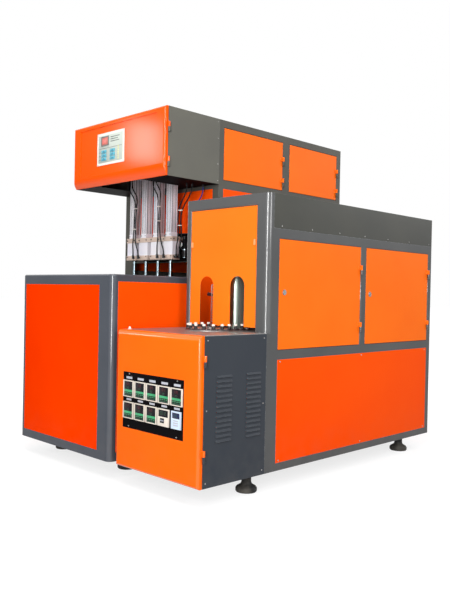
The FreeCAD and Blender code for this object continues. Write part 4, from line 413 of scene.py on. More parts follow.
@dataclass(frozen=True)
class Finish:
    """One painted, metal or plastic surface and the material made from it.

    Attributes:
        name: The material's name.
        colour: Its main display colour.
        shade: Colour of its slow clouds.
        worn_and_lit_edge: Colour along its edges: wear, and on the grey cabinets a painted
            highlight too.
        metal: Share of metal.
        rough: Middle of the roughness.
        swing: How far the roughness goes to either side.
        gloss: Level of the plain reflection.
        coat: Weight of the clear coat on flat faces.
        coat_rough: Roughness of the coat.
        gleam: Weight that the coat gains on rounded corners.
        bump: Strength of the grain.
        grain: Scale of the grain.
        cloud: Scale of the clouds.
        edge: Radius of the softened edges in metres.
        wear_and_highlight: Share of the edges that takes that colour.
        dust: Share of dust.
        brushed: Direction in which it is brushed.
    """

    name: str
    colour: Tint
    shade: Tint
    worn_and_lit_edge: Tint
    metal: float = 0.0
    rough: float = 0.4
    swing: float = 0.08
    gloss: float = 0.3
    coat: float = 0.0
    coat_rough: float = 0.12
    gleam: float = 0.0
    bump: float = 0.08
    grain: float = 700.0
    cloud: float = 2.5
    edge: float = 0.0015
    wear_and_highlight: float = 0.3
    dust: float = 0.25
    brushed: Grain = Grain.NONE

    def build(self, groups: Groups) -> bpy.types.Material:
        """Make the material.

        Args:
            groups: The shared shader groups.

        Returns:
            The node material.
        """
        material, tree, shader = new_material(self.name)
        edges = tree.feed(tree.add("Group", node_tree=groups.edges), Radius=self.edge,
                          Amount=self.wear_and_highlight)
        grain = tree.feed(tree.add("Group", node_tree=groups.grain), Scale=self.grain,
                          Cloud_Scale=self.cloud)
        dust = tree.feed(tree.add("Group", node_tree=groups.dust), Amount=self.dust)
        height, fine = grain.outputs["Height"], grain.outputs["Fine"]
        if self.brushed is not Grain.NONE:
            along = dict(zip(("Along_X", "Along_Y", "Along_Z"), self.brushed.value))
            lines = tree.feed(tree.add("Group", node_tree=groups.brushed), **along)
            height, fine = lines.outputs["Height"], lines.outputs["Mask"]
        body = tree.blend(grain.outputs["Cloud"], paint(*self.colour), paint(*self.shade))
        worn_and_lit_edge = tree.blend(edges.outputs["Mask"], body, paint(*self.worn_and_lit_edge))
        dusty = tree.blend(dust.outputs["Mask"], worn_and_lit_edge, paint(*DUST))
        rough = tree.spread(fine, 0.0, 1.0, self.rough - self.swing, self.rough + self.swing)
        dulled = tree.maths("MULTIPLY", dust.outputs["Mask"], DUST_DULLS)
        rough = tree.maths("ADD", rough, dulled, True)
        bump = tree.feed(tree.add("Bump"), Strength=self.bump, Distance=BUMP_DEPTH, Height=height,
                         Normal=edges.outputs["Normal"])
        tree.feed(shader, Base_Color=dusty, Roughness=rough, Normal=bump.outputs[0],
                  Metallic=self.metal, Specular_IOR_Level=self.gloss)
        if self.coat or self.gleam:
            rounds = tree.add("Group", node_tree=groups.rounds).outputs["Mask"]
            coat = tree.spread(rounds, 0.0, 1.0, self.coat, self.coat + self.gleam)
            tree.feed(shader, Coat_Weight=coat, Coat_Roughness=self.coat_rough)
        return material


@dataclass(frozen=True)
class Glow:
    """Lit display segment and lamp, and the printed green band that gets a painted glow."""

    name: str
    colour: Tint
    strength: float
    dim: float = 0.6
    rough: float = 0.3
    grain: float = 2500.0
    cloud: float = 60.0

    def build(self, groups: Groups) -> bpy.types.Material:
        """Make the material.

        Args:
            groups: The shared shader groups.

        Returns:
            The node material.
        """
        material, tree, shader = new_material(self.name)
        grain = tree.feed(tree.add("Group", node_tree=groups.grain), Scale=self.grain,
                          Cloud_Scale=self.cloud)
        full = paint(*self.colour)
        dim = tuple(self.dim * part for part in full[:3]) + (1.0,)
        light = tree.blend(grain.outputs["Cloud"], full, dim)
        tree.feed(shader, Base_Color=light, Emission_Color=light, Emission_Strength=self.strength,
                  Roughness=self.rough)
        return material


@dataclass(frozen=True)
class Clear:
    """Clear or tinted glass."""

    name: str
    colour: Tint
    rough: float = 0.04
    swing: float = 0.08
    grain: float = 300.0
    cloud: float = 20.0
    passes: float = 0.85
    bends: float = 1.45

    def build(self, groups: Groups) -> bpy.types.Material:
        """Make the material.

        Args:
            groups: The shared shader groups.

        Returns:
            The node material.
        """
        material, tree, shader = new_material(self.name)
        grain = tree.feed(tree.add("Group", node_tree=groups.grain), Scale=self.grain,
                          Cloud_Scale=self.cloud)
        rough = tree.spread(grain.outputs["Cloud"], 0.0, 1.0, self.rough, self.rough + self.swing)
        tree.feed(shader, Base_Color=paint(*self.colour), Roughness=rough,
                  Transmission_Weight=self.passes, IOR=self.bends)
        return material


DUST: Tint = (150, 143, 132)
DUST_DULLS = 0.4      # how much full dust adds to the roughness
BUMP_DEPTH = 0.0008   # metres between the grain's lowest and highest points
ORANGE_EDGE: Tint = (255, 160, 96)

# What several finishes have in common.
SPRAYED: dict[str, float] = {"grain": 420.0, "cloud": 1.6, "edge": 0.003}
# The grey cabinet and matt finishes have wide edges and much edge colour, which paints a pale
# highlight along their edges besides wear.
CABINET: dict[str, float] = {"gloss": 0.12, "gleam": 0.95, "bump": 0.06, "grain": 900.0,
                             "edge": 0.003}
MATT: dict[str, float] = {"rough": 0.45, "bump": 0.1, "grain": 900.0, "edge": 0.0025}
SATIN: dict[str, float] = {"rough": 0.35, "bump": 0.06, "grain": 1400.0, "wear_and_highlight": 0.2, "dust": 0.03}
PRINTED: dict[str, float] = {"bump": 0.03, "grain": 1600.0, "wear_and_highlight": 0.1, "dust": 0.0}
HOSE: dict[str, float] = {"rough": 0.3, "gloss": 0.15, "bump": 0.05, "wear_and_highlight": 0.1, "dust": 0.0}

FINISHES: tuple[Finish | Glow | Clear, ...] = (
    # The first four oranges are one paint in lit and shaded copies: painted light on the doors and
    # the oven's front panel, painted shade on the plain panels and the base's front.
    Finish("lit_door_orange", (255, 115, 24), (252, 106, 18), ORANGE_EDGE, **SPRAYED,
           rough=0.42, gloss=0.05, bump=0.06, dust=0.06),
    Finish("panel_orange", (255, 84, 6), (251, 75, 4), ORANGE_EDGE, **SPRAYED,
           rough=0.42, gloss=0.03, bump=0.06, dust=0.06),
    Finish("shaded_front_orange", (253, 64, 0), (248, 56, 0), ORANGE_EDGE, **SPRAYED,
           rough=0.42, gloss=0.0, bump=0.06, dust=0.05),
    Finish("lit_oven_orange", (255, 122, 28), (253, 114, 22), ORANGE_EDGE, **SPRAYED,
           rough=0.42, gloss=0.06, bump=0.06, dust=0.06),
    Finish("hood_orange", (255, 90, 1), (252, 82, 0), ORANGE_EDGE, **SPRAYED,
           gloss=0.0, coat=0.12, coat_rough=0.13, gleam=0.55, bump=0.02, wear_and_highlight=0.25, dust=0.04),
    Finish("box_orange", (255, 106, 10), (254, 98, 6), ORANGE_EDGE, **SPRAYED, rough=0.38,
           gloss=0.04, coat=0.05, coat_rough=0.16, gleam=0.9, bump=0.05, wear_and_highlight=0.25, dust=0.05),
    # The latches' orange is painted paler than the panels': their own orange with a painted
    # highlight.
    Finish("highlit_latch_orange", (255, 168, 112), (252, 150, 92), (255, 205, 170),
           rough=0.3, gloss=0.2, bump=0.04, dust=0.05),
    Finish("base_grey", (73, 77, 85), (64, 69, 77), (168, 172, 178), **CABINET,
           rough=0.36, coat=0.05, wear_and_highlight=0.6, dust=0.1),
    Finish("oven_grey", (83, 84, 84), (75, 76, 77), (176, 180, 186), **CABINET,
           rough=0.36, coat=0.05, wear_and_highlight=0.6, dust=0.1),
    Finish("cover_grey", (68, 68, 62), (60, 61, 57), (150, 150, 146), **CABINET,
           coat=0.02, wear_and_highlight=0.5, dust=0.08),
    Finish("head_grey", (102, 101, 93), (94, 93, 87), (150, 150, 144), **MATT,
           gloss=0.1, wear_and_highlight=0.4, dust=0.08),
    # This grey is the head's grey painted darker, a painted shade for the head's shadow on the
    # tower's frame.
    Finish("shaded_tower_grey", (88, 86, 80), (80, 79, 74), (140, 140, 134), **MATT,
           gloss=0.08, wear_and_highlight=0.4, dust=0.08),
    Finish("box_grey", (56, 60, 66), (50, 55, 62), (140, 142, 146), **MATT,
           gloss=0.1, wear_and_highlight=0.5, dust=0.1),
    Finish("black_paint", (12, 10, 12), (8, 8, 11), (60, 58, 60),
           rough=0.6, gloss=0.02, bump=0.06, wear_and_highlight=0.25, dust=0.02),
    Finish("machine_paint", (120, 126, 130), (104, 110, 116), (170, 172, 174),
           rough=0.45, bump=0.12, wear_and_highlight=0.5),
    Finish("beige_caps", (206, 184, 170), (192, 170, 156), (226, 216, 205), metal=0.2,
           rough=0.42, bump=0.05, wear_and_highlight=0.4, dust=0.05),
    Finish("drawn_alloy", (238, 234, 238), (226, 224, 236), (246, 246, 246), metal=0.1,
           gloss=0.2, bump=0.01, grain=200.0, cloud=3.0, wear_and_highlight=0.0, dust=0.0, edge=0.0004),
    Finish("slot_shadow", (32, 28, 42), (24, 22, 36), (90, 88, 96), metal=0.1,
           rough=0.6, gloss=0.05, bump=0.02, wear_and_highlight=0.0, dust=0.0, edge=0.0001),
    Finish("mould_alloy", (196, 198, 200), (180, 182, 186), (235, 235, 235), metal=1.0,
           rough=0.28, bump=0.04, brushed=Grain.X),
    # This chrome is painted darker and tinted cyan, a painted reflection of darker surroundings.
    Finish("bright_chrome", (132, 146, 152), (116, 130, 138), (200, 210, 216), metal=1.0,
           rough=0.16, swing=0.04, bump=0.02, wear_and_highlight=0.1, dust=0.0, edge=0.0005),
    Finish("deck_steel", (150, 148, 146), (132, 130, 128), (205, 205, 205), metal=0.85,
           bump=0.05, wear_and_highlight=0.4, dust=0.2, brushed=Grain.X),
    Finish("turned_steel", (170, 168, 165), (140, 138, 136), (220, 220, 220), metal=1.0,
           rough=0.32, bump=0.06, wear_and_highlight=0.5, dust=0.1),
    Finish("dark_steel", (66, 62, 60), (48, 46, 46), (150, 146, 140), metal=0.8,
           bump=0.1, wear_and_highlight=0.6),
    Finish("link_steel", (92, 58, 54), (60, 44, 46), (190, 176, 170), metal=0.6,
           rough=0.42, wear_and_highlight=0.6, dust=0.1),
    Finish("polished_sheet", (176, 190, 178), (150, 166, 156), (235, 238, 234), metal=0.75,
           rough=0.3, swing=0.06, bump=0.05, dust=0.05, brushed=Grain.Z),
    Finish("black_rubber", (26, 26, 27), (18, 18, 19), (66, 64, 62),
           rough=0.7, bump=0.3, grain=500.0, wear_and_highlight=0.5, dust=0.35),
    Finish("black_plastic", (20, 21, 24), (14, 15, 17), (70, 70, 74),
           rough=0.36, bump=0.12, grain=1200.0, dust=0.05),
    Finish("bezel_plastic", (224, 215, 203), (212, 203, 191), (242, 237, 230),
           gloss=0.15, grain=1400.0, dust=0.02),
    Finish("blue_white_plastic", (206, 222, 240), (190, 210, 232), (240, 244, 250), **SATIN),
    Finish("white_plastic", (240, 232, 222), (228, 220, 210), (250, 250, 250), **SATIN),
    Finish("membrane", (198, 206, 196), (186, 194, 186), (225, 228, 224),
           rough=0.45, bump=0.1, grain=1600.0, wear_and_highlight=0.15, dust=0.03),
    Finish("display_face", (26, 16, 22), (16, 16, 22), (60, 50, 56), **PRINTED,
           rough=0.35, gloss=0.15, cloud=30.0),
    Finish("display_pink", (206, 122, 108), (190, 104, 94), (220, 150, 140), **PRINTED, rough=0.35),
    Finish("dim_red", (112, 34, 40), (84, 28, 36), (140, 60, 60), **PRINTED, gloss=0.1),
    Finish("dim_green", (46, 92, 70), (34, 74, 58), (90, 130, 110), **PRINTED, gloss=0.1),
    Finish("display_blue", (34, 44, 84), (22, 30, 62), (90, 100, 140), **PRINTED, rough=0.3),
    Finish("cyan_key", (98, 186, 204), (78, 170, 192), (160, 220, 230),
           grain=1600.0, wear_and_highlight=0.2, dust=0.02),
    Finish("mark_blue", (40, 84, 122), (30, 68, 104), (90, 130, 160),
           rough=0.45, bump=0.03, wear_and_highlight=0.1, dust=0.0),
    Finish("caption_grey", (186, 188, 198), (168, 170, 182), (215, 215, 222),
           rough=0.45, bump=0.04, grain=1600.0, wear_and_highlight=0.2, dust=0.02),
    Finish("mark_grey", (118, 124, 120), (104, 110, 108), (170, 170, 176),
           rough=0.5, bump=0.05, wear_and_highlight=0.1, dust=0.02),
    Finish("hose_black", (10, 13, 17), (6, 8, 12), (50, 56, 64), **HOSE),
    Finish("hose_blue", (16, 52, 140), (10, 36, 110), (70, 110, 180), **HOSE),
    Finish("ceramic", (226, 220, 208), (212, 204, 190), (240, 238, 232),
           rough=0.6, bump=0.2, wear_and_highlight=0.1, dust=0.1),
    Finish("gauge_white", (238, 238, 232), (228, 228, 222), (240, 240, 240),
           bump=0.02, wear_and_highlight=0.0, dust=0.02),
    Clear("quartz", (236, 236, 232)),
    Glow("red_digits", (235, 64, 48), 0.55),
    # The instruments' green bands are printed, and their faint glow is painted light.
    Glow("green_band_painted_glow", (46, 160, 104), 0.2),
    Glow("amber_lamp", (222, 214, 104), 0.35),
)

CAD_FINISHES: dict[str, tuple[str, ...]] = {
    "base_grey": ("base_frame",),
    "oven_grey": ("oven_frame",),
    "cover_grey": ("oven_top_cover",),
    "head_grey": ("head_shell",),
    # The tower's frame gets the head's grey painted darker, a painted shade.
    "shaded_tower_grey": ("tower_frame",),
    "box_grey": ("control_box_body",),
    # Lit and shaded copies of one orange paint: painted shade on the base's front and plain panels,
    # painted light on the doors and the oven's front panel.
    "shaded_front_orange": ("base_front_panel",),
    "panel_orange": ("base_panels", "tower_panels", "oven_panels"),
    "lit_door_orange": ("head_door_front", "head_door_rear", "oven_door_front", "oven_door_rear"),
    "lit_oven_orange": ("oven_front_panel",),
    "highlit_latch_orange": ("panel_latches",),
    "box_orange": ("control_box_door",),
    "hood_orange": ("head_hood",),
    "black_paint": ("head_floor", "cylinder_bracket", "instrument_plate"),
    "machine_paint": ("clamp_bed", "platen_front", "platen_rear", "clamp_cylinders", "air_receiver",
                      "conveyor_gearmotor"),
    "beige_caps": ("crosshead",),
    "drawn_alloy": ("stretch_cylinders", "sealing_cylinders"),
    "mould_alloy": ("mould_front", "mould_rear"),
    "bright_chrome": ("tie_bars",) + tuple(f"{kind}_rod_{number}" for kind in ("sealing", "stretch")
                                           for number in range(1, 5)),
    "deck_steel": ("base_deck", "conveyor_deck"),
    "turned_steel": ("foot_studs", "oven_lock_front", "oven_lock_rear", "drive_sprocket",
                     "idler_sprocket"),
    "link_steel": ("conveyor_chain",),
    "polished_sheet": ("lamp_reflectors",),
    "black_rubber": ("foot_pads",),
    "black_plastic": ("air_regulator", "regulator_knob", "hose_fittings"),
    "white_plastic": ("keypad_panel",),
    "bezel_plastic": ("panel_instruments",),
    "quartz": ("heating_lamps",),
}


class Palette:
    """All materials by finish name."""

    def __init__(self) -> None:
        """Build the groups and every material."""
        groups = Groups()
        self.materials = {finish.name: finish.build(groups) for finish in FINISHES}

    def __getitem__(self, name: str) -> bpy.types.Material:
        """Material of a finish."""
        return self.materials[name]

    def dress(self) -> None:
        """Give every carried-over node its finish."""
        for finish, nodes in CAD_FINISHES.items():
            for node in nodes:
                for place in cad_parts[node].material_slots:
                    place.link = "OBJECT"
                    place.material = self[finish]


# ---------------------------------------------------------------- small solids

SCREW_SIDES = 16    # sides of a screw head
SCREW_SINKS = 0.2   # millimetres of a screw head that stand in what it holds
RIM_LAP = 1.0       # millimetres by which the bars of a rim run into each other
SHARP_FROM = 38.0   # degrees between two faces from which their edge stays sharp


class Head(Enum):
    """Shape of a screw head: radius and height pairs as shares of its radius."""

    DOMED = ((1.0, 0.25), (0.86, 0.42), (0.55, 0.52), (0.5, 0.3))
    SOCKET = ((1.0, 1.0), (0.9, 1.1), (0.55, 1.1), (0.5, 0.5))


class Mesher:
    """Collects small solids into one mesh."""

    def __init__(self) -> None:
        """Start empty."""
        self.mesh = bmesh.new()

    def _take(self, part: bmesh.types.BMesh, matrix: Matrix) -> None:
        """Move a solid and add it.

        Args:
            part: The solid, freed here.
            matrix: Where it goes.
        """
        bmesh.ops.transform(part, matrix=matrix, verts=part.verts)
        data = bpy.data.meshes.new("solid")
        part.to_mesh(data)
        part.free()
        self.mesh.from_mesh(data)
        bpy.data.meshes.remove(data)

    def slab(self, x: Span, y: Span, z: Span, rounding: float = 0.0, steps: int = 2) -> "Mesher":
        """Add a block with rounded edges.

        Args:
            x: Limits in millimetres.
            y: Limits in millimetres.
            z: Limits in millimetres.
            rounding: Edge radius in millimetres.
            steps: Segments of the rounding.

        Returns:
            This mesher.
        """
        part = bmesh.new()
        bmesh.ops.create_cube(part, size=1.0)
        size = Vector((mm(x[1] - x[0]), mm(y[1] - y[0]), mm(z[1] - z[0])))
        bmesh.ops.scale(part, vec=size, verts=part.verts)
        if rounding:
            bmesh.ops.bevel(part, geom=list(part.edges), offset=mm(rounding), segments=steps,
                            profile=0.5, affect="EDGES")
        centre = (at(x[0], y[0], z[0]) + at(x[1], y[1], z[1])) / 2.0
        self._take(part, Matrix.Translation(centre))
        return self

    @staticmethod
    def _lathe(part: bmesh.types.BMesh, section: Sequence[Span], sides: int,
               closed: bool = False) -> list[list[bmesh.types.BMVert]]:
        """Turn a section round the height axis.

        Args:
            part: The solid that gets the rings and the faces between them.
            section: Radius and height pairs in millimetres.
            sides: Number of sides.
            closed: Whether faces also join the last ring to the first.

        Returns:
            The rings of vertices.
        """
        turns = [2.0 * math.pi * k / sides for k in range(sides)]
        rings = [[part.verts.new((mm(r) * math.cos(a), mm(r) * math.sin(a), mm(h))) for a in turns]
                 for r, h in section]
        for low, high in zip(rings, rings[1:] + (rings[:1] if closed else [])):
            for k in range(sides):
                after = (k + 1) % sides
                part.faces.new((low[k], low[after], high[after], high[k]))
        return rings

    def turned(self, profile: Sequence[Span], spot: Spot, facing: Facing = Facing.UP,
               sides: int = 24) -> "Mesher":
        """Add a turned solid.

        Args:
            profile: Radius and height pairs in millimetres, from base to tip.
            spot: Millimetre place of the base's centre.
            facing: Which way the height points.
            sides: Number of sides.

        Returns:
            This mesher.
        """
        part = bmesh.new()
        rings = self._lathe(part, profile, sides)
        part.faces.new(list(reversed(rings[0])))
        part.faces.new(rings[-1])
        self._take(part, Matrix.Translation(at(*spot)) @ TURNS[facing])
        return self

    def screw(self, spot: Spot, facing: Facing, radius: float, head: Head = Head.DOMED) -> "Mesher":
        """Add a screw head.

        Args:
            spot: Millimetre place on the surface.
            facing: Which way the head looks.
            radius: Head radius in millimetres.
            head: Its shape.

        Returns:
            This mesher.
        """
        shape = [(wide * radius, tall * radius) for wide, tall in head.value]
        return self.turned([(radius, -SCREW_SINKS), *shape], spot, facing, SCREW_SIDES)

    def ring(self, inner: float, outer: float, height: float, spot: Spot,
             facing: Facing = Facing.UP, sides: int = 28) -> "Mesher":
        """Add a ring with softened edges.

        Args:
            inner: Inner radius in millimetres.
            outer: Outer radius in millimetres.
            height: Height in millimetres.
            spot: Millimetre place of the base's centre.
            facing: Which way the height points.
            sides: Number of sides.

        Returns:
            This mesher.
        """
        part = bmesh.new()
        soft = min(outer - inner, height) / 4.0
        section = [(inner, soft), (inner + soft, 0.0), (outer - soft, 0.0), (outer, soft),
                   (outer, height - soft), (outer - soft, height), (inner + soft, height),
                   (inner, height - soft)]
        self._lathe(part, section, sides, closed=True)
        bmesh.ops.recalc_face_normals(part, faces=part.faces)
        self._take(part, Matrix.Translation(at(*spot)) @ TURNS[facing])
        return self

    def frame(self, x: Span, z: Span, y: Span, border: Span, rounding: float = 0.8) -> "Mesher":
        """Add a raised rectangular rim that looks to the front.

        Args:
            x: Outer limits in millimetres.
            z: Outer limits in millimetres.
            y: Front and back in millimetres.
            border: Width of the upright and of the level bars in millimetres.
            rounding: Edge radius in millimetres.

        Returns:
            This mesher.
        """
        side, level = border
        between = (x[0] + side - RIM_LAP, x[1] - side + RIM_LAP)
        for upright in ((x[0], x[0] + side), (x[1] - side, x[1])):
            self.slab(upright, y, z, rounding)
        for bar in ((z[0], z[0] + level), (z[1] - level, z[1])):
            self.slab(between, y, bar, rounding)
        return self

    def piece(self, name: str, material: bpy.types.Material, body: str,
              slot: str) -> bpy.types.Object:
        """Turn what was collected into a piece of the machine.

        Args:
            name: The piece's name.
            material: Its material.
            body: The body it moves with.
            slot: Not used.

        Returns:
            The new object.
        """
        data = bpy.data.meshes.new(name)
        self.mesh.to_mesh(data)
        self.mesh.free()
        data.materials.append(material)
        for face in data.polygons:
            face.use_smooth = True
        data.set_sharp_from_angle(angle=math.radians(SHARP_FROM))
        piece = new_object(name, data)
        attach(piece, body)
        log.info("%s: %d faces on %s", name, len(data.polygons), body)
        return piece


SEGMENTS: dict[str, str] = {"0": "abcdef", "1": "bc", "2": "abged", "3": "abgcd", "4": "fgbc",
                            "5": "afgcd", "6": "afgecd", "7": "abc", "8": "abcdefg", "9": "abcdfg"}

# A figure's width, the width of its bars and its pitch, as shares of its height.
FIGURE_WIDE, FIGURE_BAR, FIGURE_PITCH = 0.52, 0.11, 0.74
# Where it starts and ends behind the display's face, and its edge radius, in millimetres.
FIGURE_DEPTH: Span = (-0.25, 0.1)
FIGURE_ROUNDING = 0.15


def digits(mesher: Mesher, number: str, left: float, low: float, front: float, tall: float) -> None:
    """Add plain seven-segment figures on a display that looks to the front.

    Args:
        mesher: Collects the segments.
        number: Figures to show.
        left: Left end in millimetres.
        low: Lower end in millimetres.
        front: Y of the display's face in millimetres.
        tall: Height of a figure in millimetres.
    """
    wide, bar, half = FIGURE_WIDE * tall, FIGURE_BAR * tall, tall / 2.0
    y = (front + FIGURE_DEPTH[0], front + FIGURE_DEPTH[1])
    for place, figure in enumerate(number):
        x = left + place * FIGURE_PITCH * tall
        bars = {
            "a": ((x, x + wide), (low + tall - bar, low + tall)),
            "b": ((x + wide - bar, x + wide), (low + half, low + tall)),
            "c": ((x + wide - bar, x + wide), (low, low + half)),
            "d": ((x, x + wide), (low, low + bar)),
            "e": ((x, x + bar), (low, low + half)),
            "f": ((x, x + bar), (low + half, low + tall)),
            "g": ((x, x + wide), (low + half - bar / 2, low + half + bar / 2)),
        }
        for segment in SEGMENTS[figure]:
            mesher.slab(bars[segment][0], y, bars[segment][1], FIGURE_ROUNDING, 1)


# ---------------------------------------------------------------- sub-assemblies


@dataclass
class ControlPlate:
    """Membrane plate on the hood, with a display, two key blocks and a column of lamps.

    Its places are millimetres from the plate's lower left corner and its face.
    """

    palette: Palette
    corner: Spot = (296.0, 355.0, 1850.0)
    membrane: Rectangle = ((15.0, 275.0), (15.0, 191.0))
    membrane_depth: Span = (-0.5, 0.2)
    rim: Rectangle = ((44.0, 128.0), (122.0, 184.0))
    rim_depth: Span = (-3.0, -0.3)
    rim_border: Span = (8.0, 7.0)
    display: Rectangle = ((51.0, 121.0), (128.0, 178.0))
    display_depth: Span = (-2.2, -1.3)
    figures: Spot = (62.0, -2.3, 138.0)
    figure_height: float = 30.0
    key_corners: tuple[Span, ...] = tuple((x, z) for x in (50.0, 142.0) for z in (28.0, 52.0, 76.0))
    key: Rectangle = ((-1.0, 55.0), (-1.0, 20.0))
    key_depth: Span = (-3.0, -1.2)
    key_marks: tuple[Rectangle, ...] = (
        ((12.0, 42.0), (5.0, 8.0)), ((20.0, 34.0), (11.0, 14.0)))
    key_mark_depth: Span = (-3.4, -2.9)
    rules: tuple[Rectangle, ...] = (
        ((146.0, 238.0), (142.0, 147.0)), ((146.0, 224.0), (156.0, 161.0)),
        ((146.0, 242.0), (170.0, 175.0)), ((24.0, 266.0), (106.0, 109.0)),
        ((24.0, 38.0), (34.0, 38.0)), ((24.0, 38.0), (58.0, 62.0)), ((24.0, 38.0), (82.0, 86.0)))
    rule_depth: Span = (-0.9, -0.4)
    lamp: Span = (229.0, 28.0)
    lamp_pitch: float = 12.5
    lamps: int = 7
    lamp_profile: tuple[Span, ...] = ((4.2, -0.3), (4.2, 1.2), (3.4, 2.2), (1.6, 2.8), (0.4, 2.9))
    screw_x: Span = (7.0, 283.0)
    screw_z: Span = (7.0, 199.0)
    screw_radius: float = 3.0
    body: str = "head_hood"

    def _lay(self, mesher: Mesher, face: Rectangle, depth: Span, rounding: float,
             start: Span = (0.0, 0.0)) -> None:
        """Lay a thin slab on the plate.

        Args:
            mesher: Collects it.
            face: Its limits to the right and up.
            depth: Its limits behind the plate's face.
            rounding: Edge radius.
            start: Where its limits are counted from.
        """
        left, front, low = self.corner
        x, z = (tuple(origin + offset + end for end in span)
                for origin, offset, span in zip((left, low), start, face))
        mesher.slab(x, (front + depth[0], front + depth[1]), z, rounding)

    def build(self) -> None:
        """Lay the membrane, display, keys and lamps on the plate."""
        left, front, low = self.corner
        membrane = Mesher()
        self._lay(membrane, self.membrane, self.membrane_depth, 0.3)
        membrane.piece("control_membrane", self.palette["membrane"], self.body, "light_plastic")
        self._display()
        self._keys()
        lines = Mesher()
        for rule in self.rules:
            self._lay(lines, rule, self.rule_depth, 0.2)
        lines.piece("control_lines", self.palette["mark_grey"], self.body, "instrument_plastic")
        lamps, screws = Mesher(), Mesher()
        for row in range(self.lamps):
            spot = (left + self.lamp[0], front, low + self.lamp[1] + row * self.lamp_pitch)
            lamps.turned(self.lamp_profile, spot, Facing.FRONT, 16)
        lamps.piece("control_lamps", self.palette["amber_lamp"], self.body, "light_plastic")
        for x, z in product(self.screw_x, self.screw_z):
            screws.screw((left + x, front, low + z), Facing.FRONT, self.screw_radius)
        screws.piece("control_screws", self.palette["turned_steel"], self.body, "steel")

    def _display(self) -> None:
        """Grey bezel, pink field and two figures."""
        left, front, low = self.corner
        (x, z), y = self.rim, self.rim_depth
        rim = Mesher().frame((left + x[0], left + x[1]), (low + z[0], low + z[1]),
                             (front + y[0], front + y[1]), self.rim_border)
        rim.piece("control_display_rim", self.palette["mark_grey"], self.body, "instrument_plastic")
        face = Mesher()
        self._lay(face, self.display, self.display_depth, 0.3)
        face.piece("control_display", self.palette["display_pink"], self.body, "instrument_plastic")
        lit, (right, ahead, up) = Mesher(), self.figures
        digits(lit, "88", left + right, low + up, front + ahead, self.figure_height)
        lit.piece("control_figures", self.palette["red_digits"], self.body, "instrument_plastic")

    def _keys(self) -> None:
        """Two blocks of three keys, each key with two small marks."""
        keys, marks = Mesher(), Mesher()
        for corner in self.key_corners:
            self._lay(keys, self.key, self.key_depth, 1.2, corner)
            for mark in self.key_marks:
                self._lay(marks, mark, self.key_mark_depth, 0.2, corner)
        keys.piece("control_keys", self.palette["cyan_key"], self.body, "light_plastic")
        marks.piece("control_key_marks", self.palette["mark_blue"], self.body, "instrument_plastic")


@dataclass(frozen=True)
class Block:
    """Small block of an instrument: limits from its middle, and its depth as the machine's Y."""

    group: str
    x: Span
    y: Span
    z: Span
    rounding: float


@dataclass(frozen=True)
class Reading:
    """Row of figures on an instrument: left and lower end from its middle, and its Y."""

    group: str
    text: str
    x: float
    z: float
    front: float
    tall: float


@dataclass(frozen=True)
class Instrument:
    """One kind of panel instrument: its rim, its figures and its small blocks."""

    rims: str
    half: Span
    border: Span
    readings: tuple[Reading, ...]
    blocks: tuple[Block, ...]


def controller(shown: str) -> Instrument:
    """Temperature controller.

    Args:
        shown: Figures on its upper display.

    Returns:
        The instrument.
    """
    marks = tuple(mark for left in (-30.0, -14.0, 2.0, 18.0) for mark in (
        Block("bands", (left, left + 10.0), (-5.4, -4.9), (-25.0, -21.5), 0.2),
        Block("green", (left, left + 11.0), (-5.9, -4.9), (-36.0, -30.0), 0.4)))
    return Instrument("rims", (44.0, 44.0), (8.0, 5.0),
                      (Reading("red", shown, -20.0, 18.0, -5.0, 14.0),
                       Reading("green", "120", -15.0, 1.0, -5.0, 10.0)),
                      (Block("bands", (-35.0, 35.0), (-5.4, -4.8), (-17.0, -5.0), 0.2), *marks))


TIMER = Instrument(
    "rims", (44.0, 44.0), (7.0, 6.0), (Reading("green", "0012", -27.0, 13.0, -5.0, 17.0),),
    (Block("rims", (-38.0, 38.0), (-6.4, 1.0), (-39.0, 3.0), 1.0),
     Block("pads", (-24.0, 9.0), (-6.9, -5.0), (-28.0, -3.0), 1.0),
     *(Block("keys", (left, left + 6.0), (-6.98, -6.5), (-19.0, -12.0), 0.2)
       for left in (-20.0, -11.0, -2.0))))

MAINS_MODULE = Instrument(
    "cool_rims", (36.0, 44.0), (8.0, 8.0), (Reading("green", "380", -15.0, 16.0, -5.5, 12.0),),
    (Block("cool_rims", (-29.0, 29.0), (-6.4, 1.0), (-37.0, 8.0), 1.0),
     Block("blue_faces", (-25.0, 25.0), (-5.4, -4.8), (12.0, 33.0), 0.4),
     *(Block("keys", (-18.0, 18.0), (-6.98, -6.1), (low, low + 6.0), 0.4)
       for low in (-28.0, -17.0, -6.0))))


